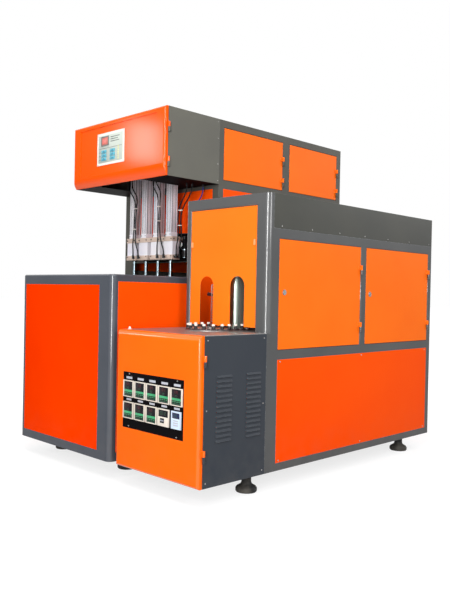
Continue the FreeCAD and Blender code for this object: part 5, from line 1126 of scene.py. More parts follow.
@dataclass
class InstrumentPanel:
    """Ten panel instruments in two rows: eight controllers, a timer and a mains module."""

    palette: Palette
    columns: tuple[float, ...] = (1152.0, 1249.0, 1346.0, 1443.0, 1540.0)
    rows: Span = (523.0, 409.0)
    case_half: float = 32.6
    case_depth: Span = (-1.0, 56.0)
    rim_depth: Span = (-7.0, 1.0)
    tray_depth: Span = (-5.0, 0.8)
    tag_half: tuple[Span, ...] = ((25.0, 6.0), (21.0, 5.0))
    tag_rise: Span = (58.0, 56.5)
    tag_depth: Span = (-0.2, 1.2)
    screw_x: Span = (1152.0, 1540.0)
    screw_z: Span = (324.0, 602.0)
    screw_radius: float = 3.6
    plate: float = 1.0
    body: str = "control_box_door"
    shown: tuple[str, ...] = ("120", "118", "124", "121", "119", "117", "122", "120")
    replacing: tuple[str, ...] = ("rims", "cool_rims", "cases", "faces")
    looks: tuple[tuple[str, str, str, str], ...] = (
        ("rims", "instrument_rims", "bezel_plastic", "light_plastic"),
        ("cool_rims", "mains_module_rim", "blue_white_plastic", "light_plastic"),
        ("cases", "instrument_cases", "black_plastic", "instrument_plastic"),
        ("faces", "instrument_faces", "display_face", "instrument_plastic"),
        ("blue_faces", "mains_module_display", "display_blue", "instrument_plastic"),
        ("bands", "instrument_green_bands", "green_band_painted_glow", "instrument_plastic"),
        ("green", "instrument_green_figures", "dim_green", "instrument_plastic"),
        ("red", "instrument_red_figures", "dim_red", "instrument_plastic"),
        ("keys", "instrument_keys", "caption_grey", "light_plastic"),
        ("pads", "instrument_pads", "black_plastic", "instrument_plastic"),
        ("tags", "caption_tags", "caption_grey", "light_plastic"),
        ("screws", "instrument_plate_screws", "turned_steel", "steel"),
    )
    groups: dict[str, Mesher] = field(default_factory=dict)

    def build(self) -> None:
        """Build each instrument, its caption tag and the plate's screws."""
        self.groups = {look[0]: Mesher() for look in self.looks}
        kinds = [controller(text) for text in self.shown] + [TIMER, MAINS_MODULE]
        places = [(x, row) for row in range(len(self.rows)) for x in self.columns]
        for kind, (x, row) in zip(kinds, places):
            z = self.rows[row]
            self._mount(kind, x, z)
            half = self.case_half
            self.groups["cases"].slab((x - half, x + half), self.case_depth,
                                      (z - half, z + half), 1.5)
            (wide, tall), tag_z = self.tag_half[row], z + self.tag_rise[row]
            self.groups["tags"].slab((x - wide, x + wide), self.tag_depth,
                                     (tag_z - tall, tag_z + tall), 0.6)
        for x, z in product(self.screw_x, self.screw_z):
            self.groups["screws"].screw((x, self.plate, z), Facing.FRONT, self.screw_radius)
        for group, name, finish, slot in self.looks:
            piece = self.groups[group].piece(name, self.palette[finish], self.body, slot)
            if group in self.replacing:
                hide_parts("panel_instruments")

    def _mount(self, kind: Instrument, x: float, z: float) -> None:
        """Add an instrument's rim, the dark tray inside it, its figures and its blocks.

        Args:
            kind: The instrument.
            x: Its middle in millimetres.
            z: Its middle in millimetres.
        """
        wide, tall = kind.half
        self.groups[kind.rims].frame((x - wide, x + wide), (z - tall, z + tall), self.rim_depth,
                                     kind.border, 1.0)
        wide, tall = wide - kind.border[0] + RIM_LAP, tall - kind.border[1] + RIM_LAP
        self.groups["faces"].slab((x - wide, x + wide), self.tray_depth, (z - tall, z + tall), 0.3)
        for row in kind.readings:
            digits(self.groups[row.group], row.text, x + row.x, z + row.z, row.front, row.tall)
        for block in kind.blocks:
            self.groups[block.group].slab((x + block.x[0], x + block.x[1]), block.y,
                                          (z + block.z[0], z + block.z[1]), block.rounding)


@dataclass
class BlowStation:
    """Painted shade along the cylinders' slots, their caps, screws and wipers, and the regulator's
    gauge.

    A groove is its middle across the profile and its width. A screw's place is how far it
    stands to each side of the station, how far in front of the row, and its height.
    """

    palette: Palette
    stations: tuple[float, ...] = (309.5, 436.5, 563.5, 690.5)
    y: float = 665.0
    cap: Span = (48.3, 32.3)
    cap_z: Span = (1249.7, 1280.3)
    nozzle_z: float = 1125.0
    profile_half: float = 25.5
    profile_z: Span = (1426.0, 1798.0)
    grooves: tuple[Span, ...] = ((-21.0, 1.2), (-13.5, 6.0), (-4.5, 1.6), (4.5, 1.6),
                                 (13.5, 6.0), (21.0, 1.2))
    line_width: float = 2.0
    line_depth: Span = (-0.1, 0.25)
    slot_depth: Span = (-2.9, -2.2)
    front_screws: tuple[tuple[Spot, float], ...] = (
        ((38.0, 32.3, 1272.0), 3.4), ((38.0, 32.0, 1382.0), 4.0),
        ((20.0, 27.0, 1411.0), 2.6), ((20.0, 27.0, 1813.0), 2.6))
    end_screws: tuple[tuple[Spot, float], ...] = (
        ((48.3, 20.0, 1272.0), 3.4), ((48.0, 20.0, 1382.0), 4.0))
    wiper: Spot = (11.0, 19.0, 6.0)
    wiper_z: float = 1243.7
    nozzle_rings: tuple[tuple[Spot, float], ...] = (
        ((6.6, 12.4, 1.6), -1.4), ((16.1, 17.6, 3.0), 13.0))
    regulator: Span = (722.0, 755.0)
    regulator_rings: tuple[tuple[Spot, float], ...] = (
        ((17.4, 21.0, 9.0), 1312.0), ((12.0, 17.2, 5.0), 1264.0))
    gauge_z: float = 1350.0
    gauge_front: float = 20.0
    gauge_profile: tuple[Span, ...] = ((4.0, 0.0), (4.0, 5.0), (19.0, 6.0), (20.0, 8.0),
                                       (20.0, 19.0), (18.6, 20.5), (17.4, 19.6))
    dial_front: float = 39.6
    dial_profile: tuple[Span, ...] = ((17.6, 0.0), (17.6, 0.5), (0.2, 0.6))
    marks: int = 11
    mark_radius: float = 13.5
    mark: Span = (1.0, 2.4)
    mark_depth: Span = (-40.6, -40.1)
    mark_turns: Span = (225.0, -27.0)
    pointer: Span = (1.2, 11.0)
    pointer_depth: Span = (-40.9, -40.4)

    def build(self) -> None:
        """Add the painted shade in the slots, and the caps, screws, wipers, seals, the gauge and
        its ring.
        """
        self._slot_shade()
        caps, wipers, (wide, deep) = Mesher(), Mesher(), self.cap
        for x in self.stations:
            caps.slab((x - wide, x + wide), (self.y - deep, self.y + deep), self.cap_z, 1.2)
            wipers.ring(*self.wiper, (x, self.y, self.wiper_z))
        caps.piece("sealing_cylinder_caps", self.palette["beige_caps"], "machine", "bare_aluminium")
        self._screws()
        wipers.piece("rod_wipers", self.palette["black_rubber"], "machine", "rubber")
        for index, x in enumerate(self.stations, 1):
            lips = Mesher()
            for size, rise in self.nozzle_rings:
                lips.ring(*size, (x, self.y, self.nozzle_z + rise))
            lips.piece(f"nozzle_seal_{index}", self.palette["black_rubber"], f"sealing_rod_{index}",
                       "rubber")
        self._regulator()

    def _slot_shade(self) -> None:
        """Painted shade: dark strips on the floors of the wide slots, and thin dark lines on the
        faces where the narrow ones run, along the four faces of each profile.
        """
        slots = Mesher()
        for x, (offset, wide) in product(self.stations, self.grooves):
            depth = self.slot_depth if wide > self.line_width else self.line_depth
            left, right = offset - wide / 2.0, offset + wide / 2.0
            for sign in (-1.0, 1.0):
                near, far = sorted(sign * (self.profile_half + reach) for reach in depth)
                slots.slab((x + left, x + right), (self.y + near, self.y + far), self.profile_z)
                slots.slab((x + near, x + far), (self.y + left, self.y + right), self.profile_z)
        slots.piece("profile_slot_shade", self.palette["slot_shadow"], "machine", "bare_aluminium")

    def _screws(self) -> None:
        """Socket screws on the fronts of all cylinders and on the last one's side."""
        screws = Mesher()
        for x, ((reach, ahead, z), radius) in product(self.stations, self.front_screws):
            for side in (-reach, reach):
                screws.screw((x + side, self.y - ahead, z), Facing.FRONT, radius, Head.SOCKET)
        for (out, reach, z), radius in self.end_screws:
            for side in (-reach, reach):
                spot = (self.stations[-1] + out, self.y + side, z)
                screws.screw(spot, Facing.RIGHT, radius, Head.SOCKET)
        screws.piece("cylinder_screws", self.palette["dark_steel"], "machine", "steel")

    def _regulator(self) -> None:
        """Rings and gauge of the air regulator."""
        x, y = self.regulator
        rings = Mesher()
        for size, z in self.regulator_rings:
            rings.ring(*size, (x, y, z))
        rings.piece("regulator_rings", self.palette["bright_chrome"], "machine", "steel")
        gauge = Mesher().turned(self.gauge_profile, (x, y - self.gauge_front, self.gauge_z),
                                Facing.FRONT, 32)
        gauge.piece("gauge_case", self.palette["bright_chrome"], "machine", "steel")
        dial = Mesher().turned(self.dial_profile, (x, y - self.dial_front, self.gauge_z),
                               Facing.FRONT, 32)
        dial.piece("gauge_dial", self.palette["gauge_white"], "machine", "light_plastic")
        marks, (first, pitch), (wide, tall) = Mesher(), self.mark_turns, self.mark
        depth = (y + self.mark_depth[0], y + self.mark_depth[1])
        for step in range(self.marks):
            turn = math.radians(first + pitch * step)
            left = x + self.mark_radius * math.cos(turn) - wide / 2.0
            low = self.gauge_z + self.mark_radius * math.sin(turn) - tall / 2.0
            marks.slab((left, left + wide), depth, (low, low + tall), 0.1, 1)
        wide, tall = self.pointer
        depth = (y + self.pointer_depth[0], y + self.pointer_depth[1])
        marks.slab((x - wide / 2.0, x + wide / 2.0), depth,
                   (self.gauge_z, self.gauge_z + tall), 0.15, 1)
        marks.piece("gauge_marks", self.palette["black_plastic"], "machine", "instrument_plastic")


# ---------------------------------------------------------------- hoses


@dataclass(frozen=True)
class HoseRun:
    """One air hose: its route from the stations' middle, its real length and its finish."""

    name: str
    node: str
    finish: str
    length: float
    route: tuple[Spot, ...]


HOSES: tuple[HoseRun, ...] = (
    HoseRun("air_hose_left_a", "air_hoses_left", "hose_black", 0.544, (
        (-175.0, -44.0, 1795.0), (-175.0, -44.0, 1770.0), (-160.0, -52.0, 1736.0),
        (-132.0, -58.0, 1706.0), (-102.0, -59.0, 1676.0), (-96.0, -57.0, 1640.0),
        (-106.0, -55.0, 1602.0), (-113.0, -53.0, 1560.0), (-116.0, -52.0, 1515.0),
        (-121.0, -52.0, 1468.0), (-122.0, -53.0, 1420.0), (-118.0, -53.0, 1373.0),
        (-107.0, -51.0, 1335.0), (-98.0, -44.0, 1308.0), (-98.0, -44.0, 1283.0))),
    HoseRun("air_hose_left_b", "air_hoses_left", "hose_black", 0.552, (
        (-203.0, -44.0, 1795.0), (-203.0, -44.0, 1770.0), (-188.0, -57.0, 1731.0),
        (-156.0, -66.0, 1697.0), (-121.0, -68.0, 1664.0), (-106.0, -66.0, 1625.0),
        (-115.0, -62.0, 1583.0), (-121.0, -60.0, 1538.0), (-124.0, -59.0, 1490.0),
        (-129.0, -59.0, 1443.0), (-131.0, -60.0, 1397.0), (-135.0, -60.0, 1362.0),
        (-143.0, -54.0, 1334.0), (-153.0, -44.0, 1308.0), (-153.0, -44.0, 1283.0))),
    HoseRun("air_hose_middle_a", "air_hoses_middle", "hose_black", 0.540, (
        (79.0, -44.0, 1795.0), (79.0, -44.0, 1770.0), (97.0, -52.0, 1737.0),
        (128.0, -57.0, 1711.0), (147.0, -59.0, 1677.0), (140.0, -56.0, 1638.0),
        (134.0, -54.0, 1596.0), (138.0, -53.0, 1551.0), (137.0, -53.0, 1504.0),
        (135.0, -53.0, 1458.0), (140.0, -53.0, 1410.0), (150.0, -53.0, 1369.0),
        (161.0, -51.0, 1337.0), (168.0, -44.0, 1308.0), (168.0, -44.0, 1283.0))),
    HoseRun("air_hose_middle_b", "air_hoses_middle", "hose_black", 0.546, (
        (51.0, -44.0, 1795.0), (51.0, -44.0, 1770.0), (67.0, -58.0, 1731.0),
        (96.0, -67.0, 1700.0), (125.0, -68.0, 1668.0), (131.0, -65.0, 1628.0),
        (124.0, -62.0, 1584.0), (128.0, -60.0, 1538.0), (129.0, -60.0, 1490.0),
        (127.0, -61.0, 1443.0), (130.0, -61.0, 1397.0), (124.0, -60.0, 1362.0),
        (112.0, -53.0, 1334.0), (101.0, -44.0, 1308.0), (101.0, -44.0, 1283.0))),
    HoseRun("air_hose_right_a", "air_hoses_right", "hose_black", 0.445, (
        (338.0, -5.0, 1711.0), (338.0, -5.0, 1682.0), (322.0, -11.0, 1643.0),
        (297.0, -15.0, 1606.0), (278.0, -17.0, 1562.0), (271.0, -17.0, 1514.0),
        (276.0, -17.0, 1466.0), (279.0, -16.0, 1418.0), (271.0, -15.0, 1372.0),
        (260.0, -14.0, 1335.0), (256.5, -13.0, 1308.0), (256.5, -13.0, 1283.0))),
    HoseRun("air_hose_right_b", "air_hoses_right", "hose_black", 0.454, (
        (354.0, 25.0, 1711.0), (354.0, 25.0, 1682.0), (338.0, 14.0, 1640.0),
        (311.0, 5.0, 1600.0), (290.0, -1.0, 1556.0), (283.0, -3.0, 1508.0),
        (288.0, -3.0, 1460.0), (292.0, -2.0, 1412.0), (285.0, 1.0, 1367.0),
        (270.0, 8.0, 1334.0), (256.5, 13.0, 1308.0), (256.5, 13.0, 1283.0))),
    HoseRun("air_hose_supply", "air_hoses_right", "hose_blue", 0.380, (
        (376.0, 99.0, 1711.0), (376.0, 99.0, 1685.0), (362.0, 98.0, 1649.0),
        (334.0, 95.0, 1621.0), (305.0, 93.0, 1592.0), (288.0, 92.0, 1554.0),
        (286.0, 91.0, 1510.0), (288.0, 91.0, 1466.0), (276.0, 90.5, 1424.0),
        (260.0, 90.0, 1390.0), (260.0, 90.0, 1364.0))),
)


@dataclass
class Hoses:
    """The air hoses, each on one smooth line, and the cable ties round each pair.

    A tie is the two hoses that it holds and the point of their routes where it sits.
    """

    palette: Palette
    middle: Span = (500.0, 665.0)
    radius: float = 4.0
    ties: tuple[tuple[int, int, int], ...] = (
        (0, 1, 6), (0, 1, 9), (2, 3, 6), (2, 3, 8), (4, 5, 4), (4, 5, 6))
    band: Span = (1.2, 4.5)
    band_slack: float = 1.4
    band_drop: float = 2.2
    lock: Box = ((-1.0, 4.5), (-3.4, 2.4), (-3.0, 3.0))

    def place(self, spot: Spot) -> Spot:
        """Millimetre place of a route's point."""
        return self.middle[0] + spot[0], self.middle[1] + spot[1], spot[2]

    def build(self) -> None:
        """Lead each hose and close the ties."""
        for run in HOSES:
            self._lead(run)
        bands, (thick, tall) = Mesher(), self.band
        for first, second, index in self.ties:
            one, other = HOSES[first].route[index], HOSES[second].route[index]
            x, y, z = self.place(tuple((a + b) / 2.0 for a, b in zip(one, other)))
            apart = math.hypot(one[0] - other[0], one[1] - other[1])
            reach = apart / 2.0 + self.radius + self.band_slack
            bands.ring(reach - thick, reach, tall, (x, y, z - self.band_drop), sides=24)
            lock = [(middle + low, middle + high)
                    for middle, (low, high) in zip((x + reach, y, z), self.lock)]
            bands.slab(*lock, 0.8)
        bands.piece("hose_ties", self.palette["white_plastic"], "machine", "light_plastic")

    def _lead(self, run: HoseRun) -> None:
        """Lead one hose along its route.

        Args:
            run: The hose.
        """
        curve = bpy.data.curves.new(run.name, "CURVE")
        curve.dimensions = "3D"
        curve.resolution_u = 8
        curve.bevel_depth = mm(self.radius)
        curve.bevel_resolution = 5
        curve.use_fill_caps = True
        spline = curve.splines.new("NURBS")
        spline.points.add(len(run.route) - 1)
        for point, spot in zip(spline.points, run.route):
            point.co = (*at(*self.place(spot)), 1.0)
        spline.order_u = 3
        spline.use_endpoint_u = True
        curve.materials.append(self.palette[run.finish])
        hose = new_object(run.name, curve)
        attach(hose, "machine")
        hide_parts(run.node)
        tuple(at(*self.place(run.route[0])))
        log.info("%s: %d points", run.name, len(run.route))


# ---------------------------------------------------------------- oven


@dataclass
class OvenCorners:
    """The oven's frame with its upright front corners rounded from the box top to its own top."""

    palette: Palette
    sides: tuple[Span, ...] = ((1038.0, 1.0), (1700.0, -1.0))
    front: float = 475.0
    radius: float = 38.0
    steps: int = 14
    clear: float = 3.0
    heights: Span = (834.0, 1580.0)
    sharp_from: float = 30.0

    def _cutter(self) -> bpy.types.Object:
        """Solid that takes the upright corner off both sides.

        Returns:
            The cutter, which doesn't stay in the scene.
        """
        cutter = bmesh.new()
        outside = self.front - self.clear
        for edge, inward in self.sides:
            middle_x, middle_y = edge + inward * self.radius, self.front + self.radius
            beside = edge - inward * self.clear
            outline = [(beside, outside), (beside, middle_y)]
            for step in range(self.steps + 1):
                turn = math.pi / 2.0 * step / self.steps
                outline.append((middle_x - inward * self.radius * math.cos(turn),
                                middle_y - self.radius * math.sin(turn)))
            outline.append((middle_x, outside))
            low, high = ([cutter.verts.new(at(x, y, z)) for x, y in outline] for z in self.heights)
            cutter.faces.new(low)
            cutter.faces.new(high)
            for k in range(len(outline)):
                after = (k + 1) % len(outline)
                cutter.faces.new((low[k], low[after], high[after], high[k]))
        bmesh.ops.recalc_face_normals(cutter, faces=cutter.faces)
        data = bpy.data.meshes.new("corner_cutter")
        cutter.to_mesh(data)
        cutter.free()
        return new_object("corner_cutter", data)

    @staticmethod
    def _settle(shape: bpy.types.Object) -> None:
        """Make what the modifiers give the object's own mesh.

        Args:
            shape: The object, which keeps no modifier.
        """
        shaped = shape.evaluated_get(bpy.context.evaluated_depsgraph_get())
        data = bpy.data.meshes.new_from_object(shaped)
        shape.modifiers.clear()
        shape.data = data

    def build(self) -> None:
        """Cut the corners off a copy of the frame, which stands for the plain one."""
        rounded = new_object("rounded_oven_frame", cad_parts["oven_frame"].data.copy())
        tool = self._cutter()
        cut = rounded.modifiers.new("corners", "BOOLEAN")
        cut.operation = "DIFFERENCE"
        cut.solver = "EXACT"
        cut.object = tool
        self._settle(rounded)
        bpy.data.objects.remove(tool)
        for face in rounded.data.polygons:
            face.use_smooth = True
            face.material_index = 0
        rounded.data.set_sharp_from_angle(angle=math.radians(self.sharp_from))
        even = rounded.modifiers.new("even_normals", "WEIGHTED_NORMAL")
        even.keep_sharp = True
        even.weight = 100
        self._settle(rounded)
        rounded.data.materials.clear()
        rounded.data.materials.append(self.palette["oven_grey"])
        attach(rounded, "machine")
        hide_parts("oven_frame")
        log.info("%s: %d faces on machine", rounded.name, len(rounded.data.polygons))


@dataclass
class Conveyor:
    """Tips and collars of the spindles, link pins and sprocket bolts."""

    palette: Palette
    centre_x: float = 1349.0
    front_y: float = 400.0
    rear_y: float = 2000.2
    pitch: float = 50.8
    links: int = 78
    teeth: int = 15
    link_top: float = 845.0
    tip_low: float = 862.0
    tip_profile: tuple[Span, ...] = ((9.3, 0.0), (9.3, 7.0), (8.9, 8.6), (7.4, 9.8), (0.6, 10.2))
    collar_profile: tuple[Span, ...] = ((10.8, 0.0), (10.8, 5.0), (9.8, 6.6), (9.6, 14.0),
                                        (9.3, 14.6))
    pin_side: float = 17.0
    pin_profile: tuple[Span, ...] = ((4.0, 0.0), (4.0, 2.6), (3.0, 3.4), (0.4, 3.5))
    bolts: int = 6
    bolt_circle: float = 42.0
    bolt_low: float = 846.5
    bolt_radius: float = 5.0
    nut_low: float = 852.0
    nut_profile: tuple[Span, ...] = ((11.0, 0.0), (11.0, 3.0), (9.0, 5.0), (2.0, 5.2))

    def place(self, distance: float) -> Spot:
        """Walk along the chain's line.

        Args:
            distance: Millimetres from the start of the right-hand run.

        Returns:
            X and Y in millimetres and the heading in radians.
        """
        radius = self.teeth * self.pitch / (2.0 * math.pi)
        span = (self.links - self.teeth) * self.pitch / 2.0
        bend = math.pi * radius
        rear = self.front_y + span
        if distance < span:
            return self.centre_x + radius, self.front_y + distance, math.pi / 2
        distance -= span
        if distance < bend:
            turn = distance / radius
            return (self.centre_x + radius * math.cos(turn), rear + radius * math.sin(turn),
                    math.pi / 2 + turn)
        distance -= bend
        if distance < span:
            return self.centre_x - radius, rear - distance, -math.pi / 2
        turn = math.pi + (distance - span) / radius
        return (self.centre_x + radius * math.cos(turn), self.front_y + radius * math.sin(turn),
                math.pi / 2 + turn)

    def build(self) -> None:
        """Dress every link and both sprockets."""
        tips, collars, pins = Mesher(), Mesher(), Mesher()
        for index in range(self.links):
            x, y, heading = self.place((index + 0.5) * self.pitch)
            tips.turned(self.tip_profile, (x, y, self.tip_low), sides=14)
            collars.turned(self.collar_profile, (x, y, self.link_top), sides=14)
            dx, dy = math.cos(heading), math.sin(heading)
            for side in (-self.pin_side, self.pin_side):
                pins.turned(self.pin_profile, (x + side * dx, y + side * dy, self.link_top - 0.1),
                            sides=10)
        tips.piece("spindle_tips", self.palette["white_plastic"], "machine", "light_plastic")
        collars.piece("spindle_collars", self.palette["black_plastic"], "machine", "hard_plastic")
        pins.piece("link_pins", self.palette["turned_steel"], "machine", "steel")
        for body, y in (("drive_sprocket", self.front_y), ("idler_sprocket", self.rear_y)):
            bolts = Mesher()
            for k in range(self.bolts):
                turn = 2.0 * math.pi * k / self.bolts
                spot = (self.centre_x + self.bolt_circle * math.cos(turn),
                        y + self.bolt_circle * math.sin(turn), self.bolt_low)
                bolts.screw(spot, Facing.UP, self.bolt_radius, Head.SOCKET)
            bolts.turned(self.nut_profile, (self.centre_x, y, self.nut_low), sides=20)
            bolts.piece(body + "_bolts", self.palette["dark_steel"], body, "steel")


@dataclass
class OvenMouth:
    """Slotted preform guide and its sensor just behind the left arch, and the lamps' holders."""

    palette: Palette
    guide_x: Span = (1262.0, 1282.0)
    guide_y: Span = (484.0, 487.0)
    guide_z: Span = (846.0, 1085.0)
    guide_bar: float = 4.0
    rung_half: float = 3.5
    rung_inset: float = 3.0
    slots: int = 15
    foot: Box = ((1256.0, 1288.0), (484.0, 509.0), (834.5, 848.0))
    sensor: Box = ((1228.0, 1263.0), (488.0, 504.0), (1022.0, 1042.0))
    sensor_nose: Box = ((1220.0, 1230.0), (492.0, 500.0), (1026.0, 1038.0))
    lamp_x: Span = (1165.7, 1532.3)
    lamp_z: tuple[float, ...] = (902.0, 942.0, 982.0, 1022.0, 1062.0, 1102.0)
    lamp_ends: tuple[tuple[float, Facing], ...] = ((700.0, Facing.FRONT), (1890.0, Facing.REAR))
    holder_profile: tuple[Span, ...] = ((6.0, 0.0), (7.4, 1.0), (7.4, 12.0), (5.0, 14.0),
                                        (2.0, 15.0))

    def build(self) -> None:
        """Add the guide, its foot, the sensor and the ceramic holders."""
        left, right = self.guide_x
        low, high = self.guide_z
        guide = Mesher()
        for bar in ((left, left + self.guide_bar), (right - self.guide_bar, right)):
            guide.slab(bar, self.guide_y, self.guide_z, 0.6)
        pitch = (high - low) / self.slots
        for step in range(self.slots + 1):
            z = low + step * pitch
            guide.slab((left + self.rung_inset, right - self.rung_inset), self.guide_y,
                       (z - self.rung_half, z + self.rung_half), 0.5)
        guide.slab(*self.foot, 1.5)
        guide.piece("preform_guide", self.palette["turned_steel"], "machine", "steel")
        sensor = Mesher().slab(*self.sensor, 2.5, 3).slab(*self.sensor_nose, 1.5)
        sensor.piece("guide_sensor", self.palette["black_plastic"], "machine", "instrument_plastic")
        holders = Mesher()
        for x, z, (y, facing) in product(self.lamp_x, self.lamp_z, self.lamp_ends):
            holders.turned(self.holder_profile, (x, y, z), facing, 16)
        holders.piece("lamp_holders", self.palette["ceramic"], "machine", "light_plastic")


@dataclass(frozen=True)
class ScrewRow:
    """Screws at every crossing of three lists of places."""

    x: tuple[float, ...]
    y: tuple[float, ...]
    z: tuple[float, ...]
    facing: Facing
    radius: float


OVEN_LEFT, OVEN_RIGHT = 1038.0, 1700.0
HEAD_SCREWS: tuple[float, ...] = (1745.0, 1850.0, 2010.0, 2115.0)
OVEN_TOP_SCREWS: tuple[float, ...] = tuple(580.0 + 260.0 * step for step in range(7))
OVEN_SIDE_SCREWS: tuple[float, ...] = (585.0, 1350.0, 2110.0)

SCREW_ROWS: tuple[ScrewRow, ...] = (
    ScrewRow((980.0,), (790.0,), HEAD_SCREWS, Facing.RIGHT, 3.6),
    ScrewRow((20.0,), (790.0,), HEAD_SCREWS, Facing.LEFT, 3.6),
    ScrewRow((OVEN_RIGHT,), OVEN_TOP_SCREWS, (1404.0,), Facing.RIGHT, 3.6),
    ScrewRow((OVEN_LEFT,), OVEN_TOP_SCREWS, (1404.0,), Facing.LEFT, 3.6),
    ScrewRow((OVEN_RIGHT,), OVEN_SIDE_SCREWS, (150.0, 678.0), Facing.RIGHT, 4.0),
    ScrewRow((OVEN_LEFT,), OVEN_SIDE_SCREWS, (150.0, 678.0), Facing.LEFT, 4.0),
    ScrewRow((92.0, 500.0, 908.0), (2085.0,), (165.0, 1075.0, 1196.0, 1684.0, 1770.0, 2072.0),
             Facing.REAR, 4.0),
    ScrewRow((60.0, 500.0, 920.0), (60.0, 430.0), (1133.0,), Facing.UP, 4.4),
    ScrewRow((1060.0, 1180.0, 1518.0, 1678.0), (70.0, 440.0), (834.0,), Facing.UP, 4.0),
    ScrewRow((OVEN_RIGHT,), (50.0, 455.0), (120.0, 470.0, 810.0), Facing.RIGHT, 3.6),
)


@dataclass
class Fasteners:
    """Screws, lock faces and small trim on the cabinets."""

    palette: Palette
    clip_foot: Box = ((1066.0, 1084.0), (48.0, 62.0), (833.5, 836.5))
    clip_head: Box = ((1070.0, 1080.0), (50.0, 60.0), (835.0, 848.0))
    locks: tuple[tuple[str, float], ...] = (("front", 610.0), ("rear", 1428.0))
    lock_z: float = 1050.0
    slot_x: Span = (1702.6, 1703.4)
    slot_half: Span = (1.2, 7.0)
    washer: Spot = (12.2, 15.5, 1.4)

    def build(self) -> None:
        """Add all screws, the cable clip and the lock faces."""
        screws = Mesher()
        for row in SCREW_ROWS:
            for spot in product(row.x, row.y, row.z):
                screws.screw(spot, row.facing, row.radius)
        screws.piece("cabinet_screws", self.palette["turned_steel"], "machine", "steel")
        clip = Mesher().slab(*self.clip_foot, 1.0).slab(*self.clip_head, 2.0)
        clip.piece("cable_clip", self.palette["white_plastic"], "machine", "light_plastic")
        for end, y in self.locks:
            lock, door = f"oven_lock_{end}", f"oven_door_{end}"
            wide, tall = self.slot_half
            slot = Mesher().slab(self.slot_x, (y - wide, y + wide),
                                 (self.lock_z - tall, self.lock_z + tall), 0.3)
            slot.piece(lock + "_slot", self.palette["black_plastic"], lock, "hard_plastic")
            washer = Mesher().ring(*self.washer, (OVEN_RIGHT, y, self.lock_z), Facing.RIGHT)
            washer.piece(lock + "_washer", self.palette["bright_chrome"], door, "steel")


# ---------------------------------------------------------------- studio


@dataclass(frozen=True)
class Lamp:
    """One soft light of the studio, in metres and watts."""

    name: str
    spot: Spot
    target: Spot
    size: Span
    power: float


LAMPS: tuple[Lamp, ...] = (
    Lamp("key_light", (2.7, -4.6, 1.9), (0.0, 0.0, 1.2), (0.8, 3.4), 200.0),
    Lamp("side_light", (5.0, -1.4, 2.6), (0.5, 0.1, 1.0), (1.6, 1.6), 84.0),
    Lamp("hood_light", (-5.4, -4.9, 3.38), (-0.1, -0.73, 1.95), (0.5, 0.6), 54.0),
    Lamp("oven_light", (0.44, -0.46, 1.3), (0.18, -0.29, 0.95), (0.15, 0.15), 0.8),
    Lamp("top_light", (0.6, -1.8, 5.6), (0.2, 0.0, 0.8), (3.0, 3.0), 150.0),
    Lamp("rear_light", (3.4, 5.2, 3.6), (0.2, 0.3, 1.0), (3.0, 3.0), 120.0),
    Lamp("back_light", (-4.6, 4.4, 3.2), (-0.2, 0.3, 1.0), (3.0, 3.0), 190.0),
)


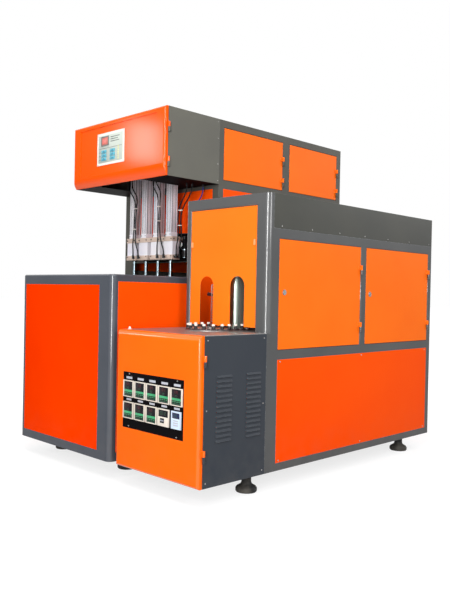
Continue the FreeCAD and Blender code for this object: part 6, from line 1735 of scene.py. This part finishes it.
@dataclass
class Studio:
    """Pale floor, soft lights, and the camera where the picture was taken from.

    The camera's place is in the machine's millimetres and its turns are in radians.
    """

    camera_spot: Spot = (4112.5, -2244.7, 1041.1)
    yaw: float = 0.787
    pitch: float = -0.0102
    roll: float = 0.0201
    focal_px: float = 693.26
    picture_px: float = 600.0
    sensor: float = 36.0
    floor_size: float = 60.0
    floor_drop: float = 0.0005
    floor_colour: Colour = (0.25, 0.25, 0.25, 1.0)
    floor_glow: Span = (0.78, 1.0)
    floor_reach: Span = (1.4, 3.6)
    white: Colour = (1.0, 1.0, 1.0, 1.0)
    ambient: float = 0.4

    def build(self) -> None:
        """Set up floor, world, lights and camera."""
        bpy.context.scene.view_settings.view_transform = "Standard"
        self._floor()
        self._world()
        for lamp in LAMPS:
            self._light(lamp)
        self._camera()

    @staticmethod
    def _seen(tree: Tree) -> bpy.types.NodeSocket:
        """Mask of the rays that show the background: the camera's, in metal and in glass.

        Args:
            tree: The tree that gets the nodes.

        Returns:
            The mask's socket.
        """
        path = tree.add("LightPath")
        seen = tree.maths("MAXIMUM", path.outputs["Is Camera Ray"], path.outputs["Is Glossy Ray"],
                          True)
        return tree.maths("MAXIMUM", seen, path.outputs["Is Transmission Ray"], True)

    def _floor(self) -> None:
        """Pale floor that keeps the machine's shadow and grows white away from it."""
        mesh = bpy.data.meshes.new("studio_floor")
        grid = bmesh.new()
        bmesh.ops.create_grid(grid, x_segments=8, y_segments=8, size=self.floor_size)
        grid.to_mesh(mesh)
        grid.free()
        floor = new_object("studio_floor", mesh)
        floor.location.z = -self.floor_drop
        material, tree, shader = new_material("floor_white")
        tree.feed(shader, Base_Color=self.floor_colour, Roughness=0.9, Specular_IOR_Level=0.0)
        seen = self._seen(tree)
        away = tree.add("VectorMath", operation="LENGTH")
        tree.feed(away, i0=tree.add("NewGeometry").outputs["Position"])
        glow = tree.spread(away.outputs["Value"], *self.floor_reach, *self.floor_glow)
        white = tree.feed(tree.add("Emission"), Color=self.white,
                          Strength=tree.maths("MULTIPLY", seen, glow))
        both = tree.feed(tree.add("AddShader"), i0=shader.outputs[0], i1=white.outputs[0])
        tree.feed(tree.tree.nodes["Material Output"], Surface=both.outputs[0])
        mesh.materials.append(material)

    def _world(self) -> None:
        """White to the camera and in metal and glass, pale and soft as light."""
        world = bpy.data.worlds.new("studio_world")
        bpy.context.scene.world = world
        world.use_nodes = True
        tree = Tree(world.node_tree)
        strength = tree.spread(self._seen(tree), 0.0, 1.0, self.ambient, 1.0)
        tree.feed(world.node_tree.nodes["Background"], Color=self.white, Strength=strength)

    @staticmethod
    def _light(lamp: Lamp) -> None:
        """Add a soft light.

        Args:
            lamp: Its place, size and power.
        """
        data = bpy.data.lights.new(lamp.name, "AREA")
        data.shape = "RECTANGLE"
        data.size, data.size_y = lamp.size
        data.energy = lamp.power
        light = new_object(lamp.name, data)
        light.location = lamp.spot
        aim = Vector(lamp.target) - Vector(lamp.spot)
        light.rotation_euler = aim.to_track_quat("-Z", "Y").to_euler()

    def _camera(self) -> None:
        """Place the camera of the picture."""
        data = bpy.data.cameras.new("picture_camera")
        data.sensor_width = self.sensor
        data.lens = self.focal_px / self.picture_px * self.sensor
        data.clip_end = 200.0
        camera = new_object("picture_camera", data)
        cos, sin = math.cos, math.sin
        ahead = Vector((-sin(self.yaw), cos(self.yaw), 0.0))
        across = Vector((cos(self.yaw), sin(self.yaw), 0.0))
        up = Vector((0.0, 0.0, 1.0))
        look = ahead * cos(self.pitch) + up * sin(self.pitch)
        high = up * cos(self.pitch) - ahead * sin(self.pitch)
        right = across * cos(self.roll) + high * sin(self.roll)
        top = high * cos(self.roll) - across * sin(self.roll)
        turn = Matrix((right, top, -look)).transposed().to_4x4()
        camera.matrix_world = Matrix.Translation(at(*self.camera_spot)) @ turn
        bpy.context.scene.camera = camera


def main() -> None:
    """Dress the machine and set up the studio."""
    logging.basicConfig(level=logging.INFO, format="%(message)s")
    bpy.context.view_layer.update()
    palette = Palette()
    palette.dress()
    Studio().build()
    Hoses(palette).build()
    ControlPlate(palette).build()
    InstrumentPanel(palette).build()
    BlowStation(palette).build()
    OvenCorners(palette).build()
    Conveyor(palette).build()
    OvenMouth(palette).build()
    Fasteners(palette).build()


if __name__ == "__main__":
    main()
